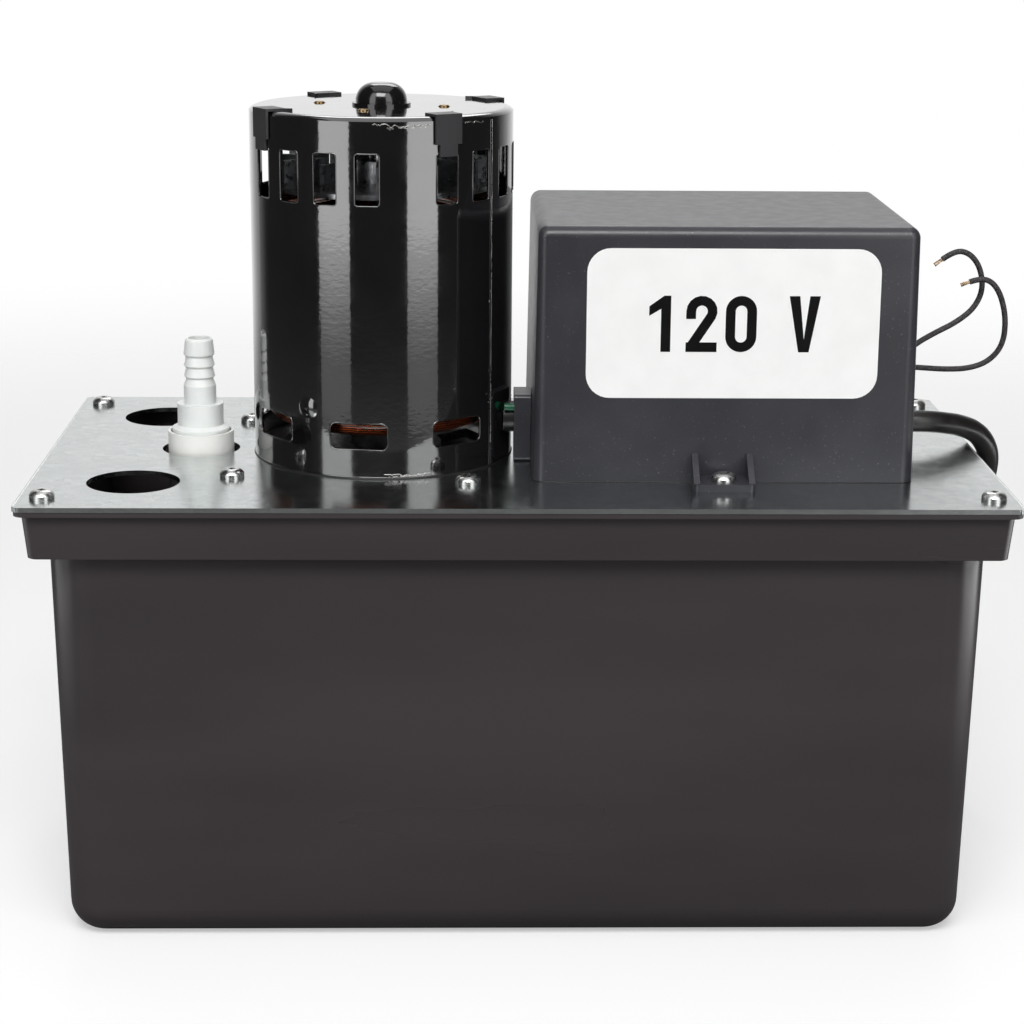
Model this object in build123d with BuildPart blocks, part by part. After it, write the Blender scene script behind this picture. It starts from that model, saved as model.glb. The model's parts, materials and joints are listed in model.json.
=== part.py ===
"""Condensate pump: a tank with a motor, pump, float switch and check valve on its deck plate.

Frame: origin at the middle of the tank's underside, +X right, +Y back, +Z up.
Lengths in millimetres, angles in degrees.
"""
from build123d import *
from math import asin, atan, cos, degrees, hypot, pi, radians, sin, sqrt
import os

os.makedirs("parts", exist_ok=True)

# ---------------------------------------------------------------- fits
RUNNING_FIT = 0.06      # radial play of a shaft or rod in its bearing
SLIP_FIT = 0.1          # play between pieces that are fastened together
MOVING_GAP = 0.3        # gap between a stop and the piece that rests on it

# ---------------------------------------------------------------- deck plate
PLATE_LENGTH = 305.0
PLATE_WIDTH = 155.0
PLATE_THICKNESS = 1.5
PLATE_CORNER = 2.5
INLET_RADIUS = 14.5
INLET_INSET = 32.5      # hole centre from the plate's left edge
INLET_SPREAD = 91.4     # between the two inlet centres
CORNER_SCREW_INSET_X = 7.5
CORNER_SCREW_INSET_Y = 11.9
DISCHARGE_HOLE_RADIUS = 12.7
SHAFT_HOLE_RADIUS = 9.0

# ---------------------------------------------------------------- tank
TANK_HEIGHT = 143.0
TANK_WALL = 2.5
TANK_CORNER = 14.0
TANK_DRAFT = 0.92
TANK_FLOOR_FILLET = 10.0
LIP_INSET = 0.2         # rim lip in from the plate's edge
LIP_THICKNESS = 1.6
SKIRT_INSET = 2.2       # skirt in from the plate's edge
SKIRT_WALL = 2.2
SKIRT_DEPTH = 15.5
SKIRT_LEAN = 1.2        # how far the skirt draws in over its depth
SKIRT_CORNER = 3.5
CHANNEL_WIDTH = 3.1     # between the skirt and the tank wall
BOSS_RADIUS = 4.0
PILOT_DEPTH = 12.0

# ---------------------------------------------------------------- screws
SCREW_HEAD_RADIUS = 3.9
SCREW_HEAD_HEIGHT = 2.6
SCREW_SHANK_RADIUS = 1.9
SCREW_LENGTH = 10.0
RECESS_SPAN = 4.2
RECESS_WIDTH = 0.9
RECESS_DEPTH = 1.4

# ---------------------------------------------------------------- motor
MOTOR_X = -43.5
MOTOR_DIAMETER = 84.2
SHELL_WALL = 0.9
SHELL_HEIGHT = 110.9
QUARTER = 90.0
SLOT_ANGLES = [0.0, 18.4, 36.8, 55.2]   # within each quarter turn
SLOT_START = -59.7
SLOT_WIDTH = 7.7
SLOT_BOTTOM = 85.5
SLOT_TOP = 101.4
SLOT_CORNER = 1.0
VENT_COUNT = 8
VENT_START = -54.0
VENT_WIDTH = 18.4
VENT_BOTTOM = 9.2
VENT_TOP = 17.8
VENT_CORNER = 2.0
SEAM_ANGLE = -34.4
SEAM_WIDTH = 0.5
DIMPLE_ANGLE = -122.3
DIMPLE_HEIGHT = 21.4
DIMPLE_RADIUS = 3.8
DIMPLE_RISE = 0.9
CAP_THICKNESS = 1.5
CAP_EDGE = 2.6
CAP_SPIGOT_DEPTH = 3.0
CAP_SPIGOT_WALL = 1.5
CAP_HUB_FLANGE_RADIUS = 25.5
CAP_HUB_FLANGE_DEPTH = 4.5
CAP_SCREW_CIRCLE = 20.6
CAP_SCREW_ANGLES = [165.7, -104.0, -14.5, 76.0]
CAP_SCREW_RADIUS = 1.7
CAP_SCREW_LENGTH = 5.0
CAP_SCREW_PROUD = 0.5
CLIP_WIDTH = 9.2
CLIP_NARROW = 6.2
CLIP_THICKNESS = 0.8
CLIP_REACH = 6.0        # along the cap's top
CLIP_SHOULDER = 6.9     # wide stretch below the cap's joint line
CLIP_HOOK = 3.2         # through the slot, into the shell
CLIP_EAR = 1.6
DOME_RADIUS = 8.2
DOME_FLANGE_RADIUS = 9.4
DOME_FLANGE_THICKNESS = 0.8
DOME_HEIGHT = 7.0
DOME_WALL = 1.2
DOME_ROUND = 5.6
BEARING_RADIUS = 8.0
BEARING_LENGTH = 9.0
HUB_WALL = 3.0
BASE_THICKNESS = 2.5
BASE_HUB_HEIGHT = 13.0
BASE_WINDOW_INNER = 19.0
BASE_WINDOW_OUTER = 33.0
BASE_SPOKE_WIDTH = 13.0
CORE_BOTTOM = 26.0
CORE_HEIGHT = 40.0
STATOR_SLOTS = 16
STATOR_SLOT_WIDTH = 4.2
STATOR_SLOT_RADIUS = 34.0
COIL_INNER = 25.0
COIL_OUTER = 37.5
COIL_OVERHANG = 14.0
SHAFT_RADIUS = 4.0
PUMP_SHAFT_RADIUS = 3.0
SHAFT_ABOVE_SHELL = 2.2
ROTOR_RADIUS = 20.2
AIR_GAP = 0.5
END_RING_HEIGHT = 4.0
END_RING_WIDTH = 5.0
FAN_HEIGHT = 86.5
FAN_RADIUS = 35.5
FAN_DISC = 1.6
FAN_HUB_RADIUS = 8.0
FAN_BLADES = 12
FAN_BLADE_DEPTH = 8.5
FAN_BLADE_INNER = 20.0
SLINGER_RADIUS = 8.0
SLINGER_THICKNESS = 2.0
SLINGER_DROP = 8.0      # below the deck plate

# ---------------------------------------------------------------- pump
VOLUTE_BOTTOM = 12.0    # top face of the volute cover
VOLUTE_HEIGHT = 24.0
VOLUTE_ROOF = 3.5
VOLUTE_WALL = 2.5
VOLUTE_START_RADIUS = 27.5
VOLUTE_STEP = 2.4       # how much each quarter arc grows
OUTLET_RADIUS = 6.0
OUTLET_WALL = 2.5
OUTLET_HEIGHT = 24.0
ELBOW_RADIUS = 14.0
DISCHARGE_OFFSET = 60.0     # riser axis left of the shaft axis
SOCKET_WALL = 2.5
SOCKET_DEPTH = 8.0
SOCKET_TOP = 50.0
VOLUTE_COVER_THICKNESS = 3.0
INLET_EYE_RADIUS = 10.0
EAR_CIRCLE = 42.0
EAR_RADIUS = 5.0
EAR_ANGLES = [200.0, 290.0, 20.0]
VOLUTE_SCREW_RADIUS = 1.8
VOLUTE_SCREW_HEAD = 3.4
VOLUTE_SCREW_HEAD_HEIGHT = 2.4
IMPELLER_RADIUS = 24.0
IMPELLER_BOTTOM = 15.0
IMPELLER_HEIGHT = 12.5
IMPELLER_SHROUD = 2.0
IMPELLER_HUB_RADIUS = 7.0
VANE_COUNT = 6
VANE_THICKNESS = 1.8
VANE_SWEEP = 55.0
STRAINER_HEIGHT = 5.5
STRAINER_RADIUS = 17.0
STRAINER_WALL = 1.8
STRAINER_SLOTS = 10
STRAINER_SLOT_WIDTH = 3.0
STAND_LEFT = 54.5       # stand flange from the shaft axis to its left edge
STAND_RIGHT = 35.5
STAND_WIDTH = 104.0
STAND_THICKNESS = 3.0
STAND_NOTCH_RADIUS = 12.5
COLUMN_TOP_RADIUS = 23.0
COLUMN_FOOT_RADIUS = 20.0
COLUMN_WALL = 2.8
COLUMN_FOOT_THICKNESS = 4.0
COLUMN_FOOT_FLANGE = 30.0
COLUMN_WINDOW_WIDTH = 15.0
COLUMN_WINDOW_HEIGHT = 62.0
STAND_RIB_LENGTH = 14.0
STAND_RIB_THICKNESS = 3.0
PUMP_SCREW_LEFT = 46.5      # from the shaft axis
PUMP_SCREW_LEFT_Y = 38.6
PUMP_SCREW_RIGHT = 27.8
PUMP_SCREW_RIGHT_Y = 46.0

# ---------------------------------------------------------------- check valve and barb
RISER_RADIUS = 8.5
RISER_WALL = 2.5
VALVE_RADIUS = 10.75
VALVE_RISE = 6.2        # above the deck plate
VALVE_DROP = 30.0
VALVE_CHAMBER_RADIUS = 7.6
VALVE_SEAT_DROP = 18.0
VALVE_SEAT_RADIUS = 4.5
VALVE_RECESS_RADIUS = 9.9
VALVE_RECESS_DEPTH = 1.6
VALVE_SOCKET_DEPTH = 8.0
VALVE_LEDGE = 1.5
POPPET_RADIUS = 6.6
POPPET_DISC = 2.0
POPPET_HEIGHT = 5.5
BARB_BORE = 3.4
BARB_THREAD_DROP = 8.0
BARB_FLANGE_RADIUS = 9.35
BARB_FLANGE_TOP = 7.2
GASKET_THICKNESS = 0.9
BARB_COLLAR_RADIUS = 7.52
BARB_COLLAR_BOTTOM = 8.25
BARB_COLLAR_TOP = 15.3
BARB_STEM_RADIUS = 5.25
BARB_STEM_TOP = 21.3
BARB_RADIUS = 5.05
BARB_GROOVE_DEPTH = 0.68
BARB_COUNT = 3
BARB_PITCH = 3.6
BARB_EDGE = 0.8         # height of each barb's undercut
BARB_FIRST_CREST = 24.3
BARB_TIP = 36.8
BARB_TIP_RADIUS = 4.5
BARB_TIP_BEVEL = 0.6

# ---------------------------------------------------------------- cover
COVER_X = 64.25
COVER_LENGTH = 119.5
COVER_WIDTH = 90.4
COVER_HEIGHT = 80.2
COVER_WALL = 2.5
COVER_DRAFT = 0.79
COVER_CORNER = 4.0
COVER_TOP_FILLET = 3.5
FOOT_X = 63.5
FOOT_WIDTH = 19.0
FOOT_REACH = 11.8       # out from the cover's face
FOOT_THICKNESS = 2.3
FOOT_SCREW_REACH = 6.8
FOOT_CORNER = 3.0
GUSSET_THICKNESS = 1.9
GUSSET_HEIGHT = 9.5
DUCT_Y = -11.35
DUCT_WIDTH = 14.1
DUCT_DEPTH = 5.3        # out from the cover's left face
DUCT_HEIGHT = 22.0
DUCT_WALL = 1.6
DUCT_CORNER = 1.5
SLEEVE_RADIUS = 5.0
SLEEVE_WALL = 1.5
SLEEVE_HEIGHT = 13.5
GROUND_RADIUS = 1.3
GROUND_ANGLE = 40.0     # round the sleeve, up from its front
RELIEF_Y = 3.2
RELIEF_HEIGHT = 8.9
RELIEF_RADIUS = 6.4
RELIEF_TIP_RADIUS = 4.9
RELIEF_OUTSIDE = 6.5
RELIEF_INSIDE = 12.0
RELIEF_NECK_RADIUS = 5.4
GROMMET_Y = 20.0
GROMMET_HEIGHT = 25.7
GROMMET_RADIUS = 5.2
GROMMET_GROOVE = 1.1
GROMMET_LIP = 1.4

# ---------------------------------------------------------------- float switch
FLOAT_X = 95.0
FLOAT_END_INSET = 24.5  # float's end in from the plate's edge
FLOAT_WIDTH = 76.0
FLOAT_HEIGHT = 26.0
FLOAT_BOTTOM = 20.0
FLOAT_CORNER = 9.0
FLOAT_EDGE = 4.0
FLOAT_RIB_WIDTH = 5.0
FLOAT_RIB_DEPTH = 2.5
FLOAT_TRAVEL = 24.0
ROD_RADIUS = 2.0
ROD_BELOW_FLOAT = 4.0
GUIDE_RADIUS = 5.0
GUIDE_FLANGE_RADIUS = 7.5
GUIDE_FLANGE_THICKNESS = 1.5
GUIDE_LENGTH = 12.0
COLLAR_RADIUS = 4.6
COLLAR_HEIGHT = 3.0
COLLAR_SPACING = 6.4    # clear gap between the two collars that hold the arm
BRACKET_THICKNESS = 1.5
BRACKET_Y = 10.5        # front face
BRACKET_LEFT = 22.0
BRACKET_RIGHT = 84.0
BRACKET_HEADROOM = 2.7      # between the bracket's top and the cover's ceiling
BRACKET_FOOT = 15.0
BRACKET_BEND = 2.5
BRACKET_SCREW_INSET = 8.0
BRACKET_CORNER = 5.0
PIVOT_X = 52.0
PIVOT_BELOW_ROD = 0.2       # pivot below the rod's top at rest
PIVOT_RADIUS = 1.5
SWITCH_LEFT = 24.0
SWITCH_RIGHT = 56.0
SWITCH_FRONT = -9.0
SWITCH_HEIGHT = 24.0
SWITCH_SLOT = 8.4
SWITCH_CORNER = 2.0
TERMINAL_WIDTH = 6.3
TERMINAL_THICKNESS = 0.8
TERMINAL_LENGTH = 7.0
ARM_WIDTH = 7.8
ARM_THICKNESS = 1.6
ARM_EYE_RADIUS = 3.4
ARM_TAIL = 8.0
FORK_WIDTH = 11.0
FORK_OVERHANG = 4.5
FORK_PLAY = 0.6         # between the rod and the fork's slot
SAFETY_LEFT = 52.0
SAFETY_RIGHT = 80.0
SAFETY_FRONT = 0.0
SAFETY_HEIGHT = 11.3
SAFETY_BELOW_BRACKET = 1.5  # its top below the bracket's top
SAFETY_PIVOT_X = 56.0
SAFETY_PIVOT_DROP = 2.6     # pivot below the switch body
SAFETY_ARM_THICKNESS = 0.8
SAFETY_ARM_WIDTH = 6.0
SAFETY_ARM_OVERHANG = 3.0
SAFETY_ARM_GAP = 1.0        # clear of the rod's top at full lift
SAFETY_BUTTON_RADIUS = 1.2
SWITCH_SCREW_INSET = 4.0
SAFETY_SCREW_INSET = 12.0   # the screw beside the safety switch's pivot
SMALL_SCREW_RADIUS = 1.5
SMALL_SCREW_HEAD = 2.8
SMALL_SCREW_HEAD_HEIGHT = 1.8

# ---------------------------------------------------------------- cords
CORD_RADIUS = 3.65
LEAD_RADIUS = 0.95
COIL_MEAN_RADIUS = 43.5
COIL_X = 99.5
COIL_Y = 136.0
COIL_TAIL = 30.0        # straight cord at each end of the coil
COIL_TURNS_WIDE = 3
COIL_LAYERS = 2
COIL_TURNS = 5.25       # inwards below, outwards on top, and off to the plug
PLUG_BODY_LENGTH = 32.0
PLUG_WIDTH = 30.0
PLUG_DEPTH = 26.0
PLUG_TAIL_LENGTH = 22.0
PLUG_TAIL_RADIUS = 5.4
BLADE_LENGTH = 18.0
BLADE_WIDTH = 6.3
BLADE_THICKNESS = 1.5
BLADE_SPACING = 18.3
BLADE_DROP = 2.9        # blades below the cord's axis
EARTH_PIN_RADIUS = 2.4
EARTH_PIN_LENGTH = 21.0
EARTH_PIN_OFFSET = 11.9

# ---------------------------------------------------------------- derived places
DECK_TOP = TANK_HEIGHT + PLATE_THICKNESS
FLOAT_LENGTH = 2 * (PLATE_LENGTH / 2 - FLOAT_X - FLOAT_END_INSET)
BRACKET_HEIGHT = COVER_HEIGHT - COVER_WALL - BRACKET_HEADROOM
SAFETY_TOP = BRACKET_HEIGHT - SAFETY_BELOW_BRACKET
SAFETY_BOTTOM = SAFETY_TOP - SAFETY_HEIGHT
SAFETY_ARM_UNDERSIDE = SAFETY_BOTTOM - SAFETY_PIVOT_DROP - SAFETY_ARM_THICKNESS / 2
ROD_TOP = SAFETY_ARM_UNDERSIDE - SAFETY_ARM_GAP - FLOAT_TRAVEL      # above the deck plate at rest
PIVOT_HEIGHT = ROD_TOP - PIVOT_BELOW_ROD
SWITCH_BOTTOM = PIVOT_HEIGHT - SWITCH_HEIGHT / 2
SWITCH_TOP = PIVOT_HEIGHT + SWITCH_HEIGHT / 2
INLET_X = INLET_INSET - PLATE_LENGTH / 2
INLET_Y = INLET_SPREAD / 2
CORNER_X = PLATE_LENGTH / 2 - CORNER_SCREW_INSET_X
CORNER_Y = PLATE_WIDTH / 2 - CORNER_SCREW_INSET_Y
RISER_X = MOTOR_X - DISCHARGE_OFFSET
MOTOR_RADIUS = MOTOR_DIAMETER / 2
SHELL_INNER = MOTOR_RADIUS - SHELL_WALL
SHELL_TOP = DECK_TOP + SHELL_HEIGHT
CAP_TOP = SHELL_TOP + CAP_THICKNESS
SHAFT_TOP = SHELL_TOP + SHAFT_ABOVE_SHELL
COLUMN_BOTTOM = VOLUTE_BOTTOM + VOLUTE_HEIGHT
VOLUTE_COVER_BOTTOM = VOLUTE_BOTTOM - VOLUTE_COVER_THICKNESS
ROD_TOP_Z = DECK_TOP + ROD_TOP
SAFETY_BASE_Z = DECK_TOP + SAFETY_BOTTOM
COVER_LEFT = COVER_X - COVER_LENGTH / 2
COVER_RIGHT = COVER_X + COVER_LENGTH / 2
COVER_FACE = COVER_WIDTH / 2
FOOT_SCREW_Y = COVER_FACE + FOOT_SCREW_REACH
BRACKET_BACK = BRACKET_Y + BRACKET_THICKNESS
foot_screw_spots = [(BRACKET_LEFT + BRACKET_SCREW_INSET, BRACKET_BACK + BRACKET_FOOT / 2),
                    (BRACKET_RIGHT - BRACKET_SCREW_INSET, BRACKET_BACK + BRACKET_FOOT / 2)]


def level(height, x=0.0, y=0.0):
    """A horizontal plane with its origin on the vertical line through x, y."""
    return Plane(origin=(x, y, height), x_dir=(1, 0, 0), z_dir=(0, 0, 1))


def upright(x, y=0.0, z=0.0, turn=0.0):
    """A vertical plane through x, y whose local x points outwards at an angle and local y points up."""
    x_dir = (cos(radians(turn)), sin(radians(turn)), 0)
    return Plane(origin=(x, y, z), x_dir=x_dir, z_dir=(x_dir[1], -x_dir[0], 0))


def write(item, name):
    """Label a finished sub-part and write its STEP file."""
    item.part.label = name
    export_step(item.part, f"parts/{name}.step")


def outline(*points):
    """A closed face through corner points, added to the sketch in use."""
    return Polygon(*points, align=None)


# ---------------------------------------------------------------- tank solid
body_length = PLATE_LENGTH - 2 * (SKIRT_INSET + SKIRT_WALL + CHANNEL_WIDTH)
body_width = PLATE_WIDTH - 2 * (SKIRT_INSET + SKIRT_WALL + CHANNEL_WIDTH)


def tub(inset, floor_z, floor_fillet):
    """The tank's drafted form, in from its outside by an inset, with a rounded floor edge."""
    with BuildPart() as form:
        with BuildSketch(level(TANK_HEIGHT)):
            RectangleRounded(body_length - 2 * inset, body_width - 2 * inset, TANK_CORNER - inset)
        extrude(amount=floor_z - TANK_HEIGHT, taper=TANK_DRAFT)
        fillet(form.edges().group_by(Axis.Z)[0], floor_fillet)
    return form.part


tank_outside = tub(0, 0, TANK_FLOOR_FILLET)
tank_inside = tub(TANK_WALL, TANK_WALL, TANK_FLOOR_FILLET - TANK_WALL)

with BuildPart() as tank:
    add(tank_outside)
    add(tank_inside, mode=Mode.SUBTRACT)
    with BuildSketch(level(TANK_HEIGHT)):
        RectangleRounded(PLATE_LENGTH - 2 * LIP_INSET, PLATE_WIDTH - 2 * LIP_INSET, SKIRT_CORNER)
        RectangleRounded(body_length - TANK_WALL, body_width - TANK_WALL, TANK_CORNER - TANK_WALL / 2,
                         mode=Mode.SUBTRACT)
    extrude(amount=-LIP_THICKNESS)
    for drop, inset in ((LIP_THICKNESS, SKIRT_INSET), (SKIRT_DEPTH, SKIRT_INSET + SKIRT_LEAN)):
        with BuildSketch(level(TANK_HEIGHT - drop)):
            RectangleRounded(PLATE_LENGTH - 2 * inset, PLATE_WIDTH - 2 * inset, SKIRT_CORNER)
            RectangleRounded(PLATE_LENGTH - 2 * (inset + SKIRT_WALL), PLATE_WIDTH - 2 * (inset + SKIRT_WALL),
                             SKIRT_CORNER - SKIRT_WALL / 2, mode=Mode.SUBTRACT)
    loft()
    with BuildSketch(level(TANK_HEIGHT)):
        with GridLocations(2 * CORNER_X, 2 * CORNER_Y, 2, 2):
            Circle(BOSS_RADIUS)
    extrude(amount=-SKIRT_DEPTH)
    with Locations((0, 0, TANK_HEIGHT)):
        with GridLocations(2 * CORNER_X, 2 * CORNER_Y, 2, 2):
            Hole(SCREW_SHANK_RADIUS + SLIP_FIT, PILOT_DEPTH)
write(tank, "tank")

# ---------------------------------------------------------------- deck plate
with BuildPart() as deck_plate:
    with BuildSketch(level(TANK_HEIGHT)):
        RectangleRounded(PLATE_LENGTH, PLATE_WIDTH, PLATE_CORNER)
    extrude(amount=PLATE_THICKNESS)
    with Locations((0, 0, DECK_TOP)):
        with Locations((INLET_X, INLET_Y), (INLET_X, -INLET_Y)):
            Hole(INLET_RADIUS)
        with Locations((RISER_X, 0)):
            Hole(DISCHARGE_HOLE_RADIUS)
        with Locations((MOTOR_X, 0)):
            Hole(SHAFT_HOLE_RADIUS)
        with Locations((FLOAT_X, 0)):
            Hole(GUIDE_RADIUS + SLIP_FIT)
        with GridLocations(2 * CORNER_X, 2 * CORNER_Y, 2, 2):
            Hole(SCREW_SHANK_RADIUS + SLIP_FIT)
        with Locations((MOTOR_X - PUMP_SCREW_LEFT, PUMP_SCREW_LEFT_Y),
                       (MOTOR_X - PUMP_SCREW_LEFT, -PUMP_SCREW_LEFT_Y),
                       (MOTOR_X + PUMP_SCREW_RIGHT, PUMP_SCREW_RIGHT_Y),
                       (MOTOR_X + PUMP_SCREW_RIGHT, -PUMP_SCREW_RIGHT_Y),
                       (FOOT_X, FOOT_SCREW_Y), (FOOT_X, -FOOT_SCREW_Y)):
            Hole(SCREW_SHANK_RADIUS + SLIP_FIT)
        with Locations(*foot_screw_spots):
            Hole(SMALL_SCREW_RADIUS + SLIP_FIT)
write(deck_plate, "deck_plate")


# ---------------------------------------------------------------- pan-head screws
def pan_screw(head_radius, head_height, shank_radius, length):
    """One pan-head screw with a cross recess: its head's underside at the origin, its shank downwards."""
    with BuildPart() as screw:
        with BuildSketch(Plane.XZ):
            with BuildLine():
                Polyline((0, head_height), (0, -length), (shank_radius * 0.6, -length),
                         (shank_radius, -length + shank_radius), (shank_radius, 0), (head_radius, 0),
                         (head_radius, head_height * 0.45))
                ThreePointArc((head_radius, head_height * 0.45), (head_radius * 0.78, head_height * 0.86),
                              (head_radius * 0.3, head_height))
                Line((head_radius * 0.3, head_height), (0, head_height))
            make_face()
        revolve(axis=Axis.Z)
        with BuildSketch(Plane.XY.offset(head_height)):
            Rectangle(RECESS_SPAN, RECESS_WIDTH)
            Rectangle(RECESS_WIDTH, RECESS_SPAN)
        extrude(amount=-RECESS_DEPTH, mode=Mode.SUBTRACT)
    return screw.part


deck_screw = pan_screw(SCREW_HEAD_RADIUS, SCREW_HEAD_HEIGHT, SCREW_SHANK_RADIUS, SCREW_LENGTH)

with BuildPart() as deck_screws:
    with Locations((0, 0, DECK_TOP)):
        with GridLocations(2 * CORNER_X, 2 * CORNER_Y, 2, 2):
            add(deck_screw)
write(deck_screws, "deck_screws")

with BuildPart() as pump_mount_screws:
    for side in (-1, 1):
        with Locations((MOTOR_X - PUMP_SCREW_LEFT, side * PUMP_SCREW_LEFT_Y, DECK_TOP),
                       (MOTOR_X + PUMP_SCREW_RIGHT, side * PUMP_SCREW_RIGHT_Y, DECK_TOP)):
            add(deck_screw)
write(pump_mount_screws, "pump_mount_screws")

with BuildPart() as cover_screws:
    with Locations((FOOT_X, FOOT_SCREW_Y, DECK_TOP + FOOT_THICKNESS),
                   (FOOT_X, -FOOT_SCREW_Y, DECK_TOP + FOOT_THICKNESS)):
        add(deck_screw)
write(cover_screws, "cover_screws")

# ---------------------------------------------------------------- motor shell
spigot_outer = SHELL_INNER - SLIP_FIT
sleeve_start = MOTOR_X + (COIL_OUTER + spigot_outer) / 2 - SLIP_FIT

with BuildPart() as motor_shell:
    with BuildSketch(level(DECK_TOP, MOTOR_X)):
        Circle(MOTOR_RADIUS)
        Circle(SHELL_INNER, mode=Mode.SUBTRACT)
    extrude(amount=SHELL_HEIGHT)
    for quadrant in range(4):
        for step in SLOT_ANGLES:
            turn = SLOT_START + QUARTER * quadrant + step
            with BuildSketch(Plane(origin=(MOTOR_X, 0, DECK_TOP + (SLOT_BOTTOM + SLOT_TOP) / 2),
                                   x_dir=(-sin(radians(turn)), cos(radians(turn)), 0),
                                   z_dir=(cos(radians(turn)), sin(radians(turn)), 0))):
                RectangleRounded(SLOT_WIDTH, SLOT_TOP - SLOT_BOTTOM, SLOT_CORNER)
            extrude(amount=MOTOR_RADIUS + 1, mode=Mode.SUBTRACT)
    for vent in range(VENT_COUNT):
        turn = VENT_START + vent * 360 / VENT_COUNT
        with BuildSketch(Plane(origin=(MOTOR_X, 0, DECK_TOP + (VENT_BOTTOM + VENT_TOP) / 2),
                               x_dir=(-sin(radians(turn)), cos(radians(turn)), 0),
                               z_dir=(cos(radians(turn)), sin(radians(turn)), 0))):
            RectangleRounded(VENT_WIDTH, VENT_TOP - VENT_BOTTOM, VENT_CORNER)
        extrude(amount=MOTOR_RADIUS + 1, mode=Mode.SUBTRACT)
    with BuildSketch(upright(MOTOR_X, 0, DECK_TOP, SEAM_ANGLE)):
        with Locations((MOTOR_RADIUS, SHELL_HEIGHT / 2)):
            Rectangle(4 * SHELL_WALL, SHELL_HEIGHT)
    extrude(amount=SEAM_WIDTH / 2, both=True, mode=Mode.SUBTRACT)
    with BuildSketch(Plane.YZ.offset(sleeve_start)):
        with Locations((DUCT_Y, DECK_TOP + SLEEVE_HEIGHT)):
            Circle(SLEEVE_RADIUS + SLIP_FIT)
    extrude(amount=MOTOR_RADIUS, mode=Mode.SUBTRACT)
    with BuildSketch(upright(MOTOR_X, 0, DECK_TOP + DIMPLE_HEIGHT, DIMPLE_ANGLE)):
        with BuildLine():
            Polyline((MOTOR_RADIUS - SHELL_WALL * 0.9, DIMPLE_RADIUS * 0.99),
                     (MOTOR_RADIUS - SHELL_WALL * 0.9, 0),
                     (MOTOR_RADIUS + DIMPLE_RISE, 0))
            ThreePointArc((MOTOR_RADIUS + DIMPLE_RISE, 0),
                          (MOTOR_RADIUS + DIMPLE_RISE * 0.7, DIMPLE_RADIUS * 0.55),
                          (MOTOR_RADIUS - SHELL_WALL * 0.3, DIMPLE_RADIUS * 0.99))
            Line((MOTOR_RADIUS - SHELL_WALL * 0.3, DIMPLE_RADIUS * 0.99),
                 (MOTOR_RADIUS - SHELL_WALL * 0.9, DIMPLE_RADIUS * 0.99))
        make_face()
    revolve(axis=Axis((MOTOR_X, 0, DECK_TOP + DIMPLE_HEIGHT),
                      (cos(radians(DIMPLE_ANGLE)), sin(radians(DIMPLE_ANGLE)), 0)))
write(motor_shell, "motor_shell")

# ---------------------------------------------------------------- motor end cap
hub_bottom = SHELL_HEIGHT - BEARING_LENGTH - CAP_SPIGOT_DEPTH

with BuildPart() as motor_end_cap:
    with BuildSketch(upright(MOTOR_X, 0, DECK_TOP)):
        with BuildLine():
            Polyline((SHAFT_RADIUS + 1, SHELL_HEIGHT + CAP_THICKNESS),
                     (SHAFT_RADIUS + 1, hub_bottom + BEARING_LENGTH),
                     (BEARING_RADIUS + SLIP_FIT, hub_bottom + BEARING_LENGTH),
                     (BEARING_RADIUS + SLIP_FIT, hub_bottom), (BEARING_RADIUS + HUB_WALL, hub_bottom),
                     (BEARING_RADIUS + HUB_WALL, SHELL_HEIGHT - CAP_HUB_FLANGE_DEPTH),
                     (CAP_HUB_FLANGE_RADIUS, SHELL_HEIGHT - CAP_HUB_FLANGE_DEPTH),
                     (CAP_HUB_FLANGE_RADIUS, SHELL_HEIGHT), (spigot_outer - CAP_SPIGOT_WALL, SHELL_HEIGHT),
                     (spigot_outer - CAP_SPIGOT_WALL, SHELL_HEIGHT - CAP_SPIGOT_DEPTH),
                     (spigot_outer, SHELL_HEIGHT - CAP_SPIGOT_DEPTH), (spigot_outer, SHELL_HEIGHT),
                     (MOTOR_RADIUS, SHELL_HEIGHT), (MOTOR_RADIUS, SHELL_HEIGHT + CAP_THICKNESS * 0.15))
            TangentArc((MOTOR_RADIUS - CAP_EDGE, SHELL_HEIGHT + CAP_THICKNESS),
                       (MOTOR_RADIUS, SHELL_HEIGHT + CAP_THICKNESS * 0.15), tangent=(1, 0))
            Line((MOTOR_RADIUS - CAP_EDGE, SHELL_HEIGHT + CAP_THICKNESS),
                 (SHAFT_RADIUS + 1, SHELL_HEIGHT + CAP_THICKNESS))
        make_face()
    revolve(axis=Axis((MOTOR_X, 0, 0), (0, 0, 1)))
    for angle in CAP_SCREW_ANGLES:
        with BuildSketch(level(CAP_TOP, MOTOR_X)):
            with PolarLocations(CAP_SCREW_CIRCLE, 1, start_angle=angle):
                Circle(CAP_SCREW_RADIUS + 3 * SLIP_FIT)
        extrude(amount=-CAP_SCREW_LENGTH, mode=Mode.SUBTRACT)
write(motor_end_cap, "motor_end_cap")

with BuildPart() as cap_screws:
    for angle in CAP_SCREW_ANGLES:
        with BuildSketch(level(CAP_TOP - CAP_SCREW_LENGTH, MOTOR_X)):
            with PolarLocations(CAP_SCREW_CIRCLE, 1, start_angle=angle):
                Circle(CAP_SCREW_RADIUS)
        extrude(amount=CAP_SCREW_LENGTH + CAP_SCREW_PROUD)
    chamfer(cap_screws.edges().group_by(Axis.Z)[-1], CAP_SCREW_PROUD / 2)
write(cap_screws, "cap_screws")

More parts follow.
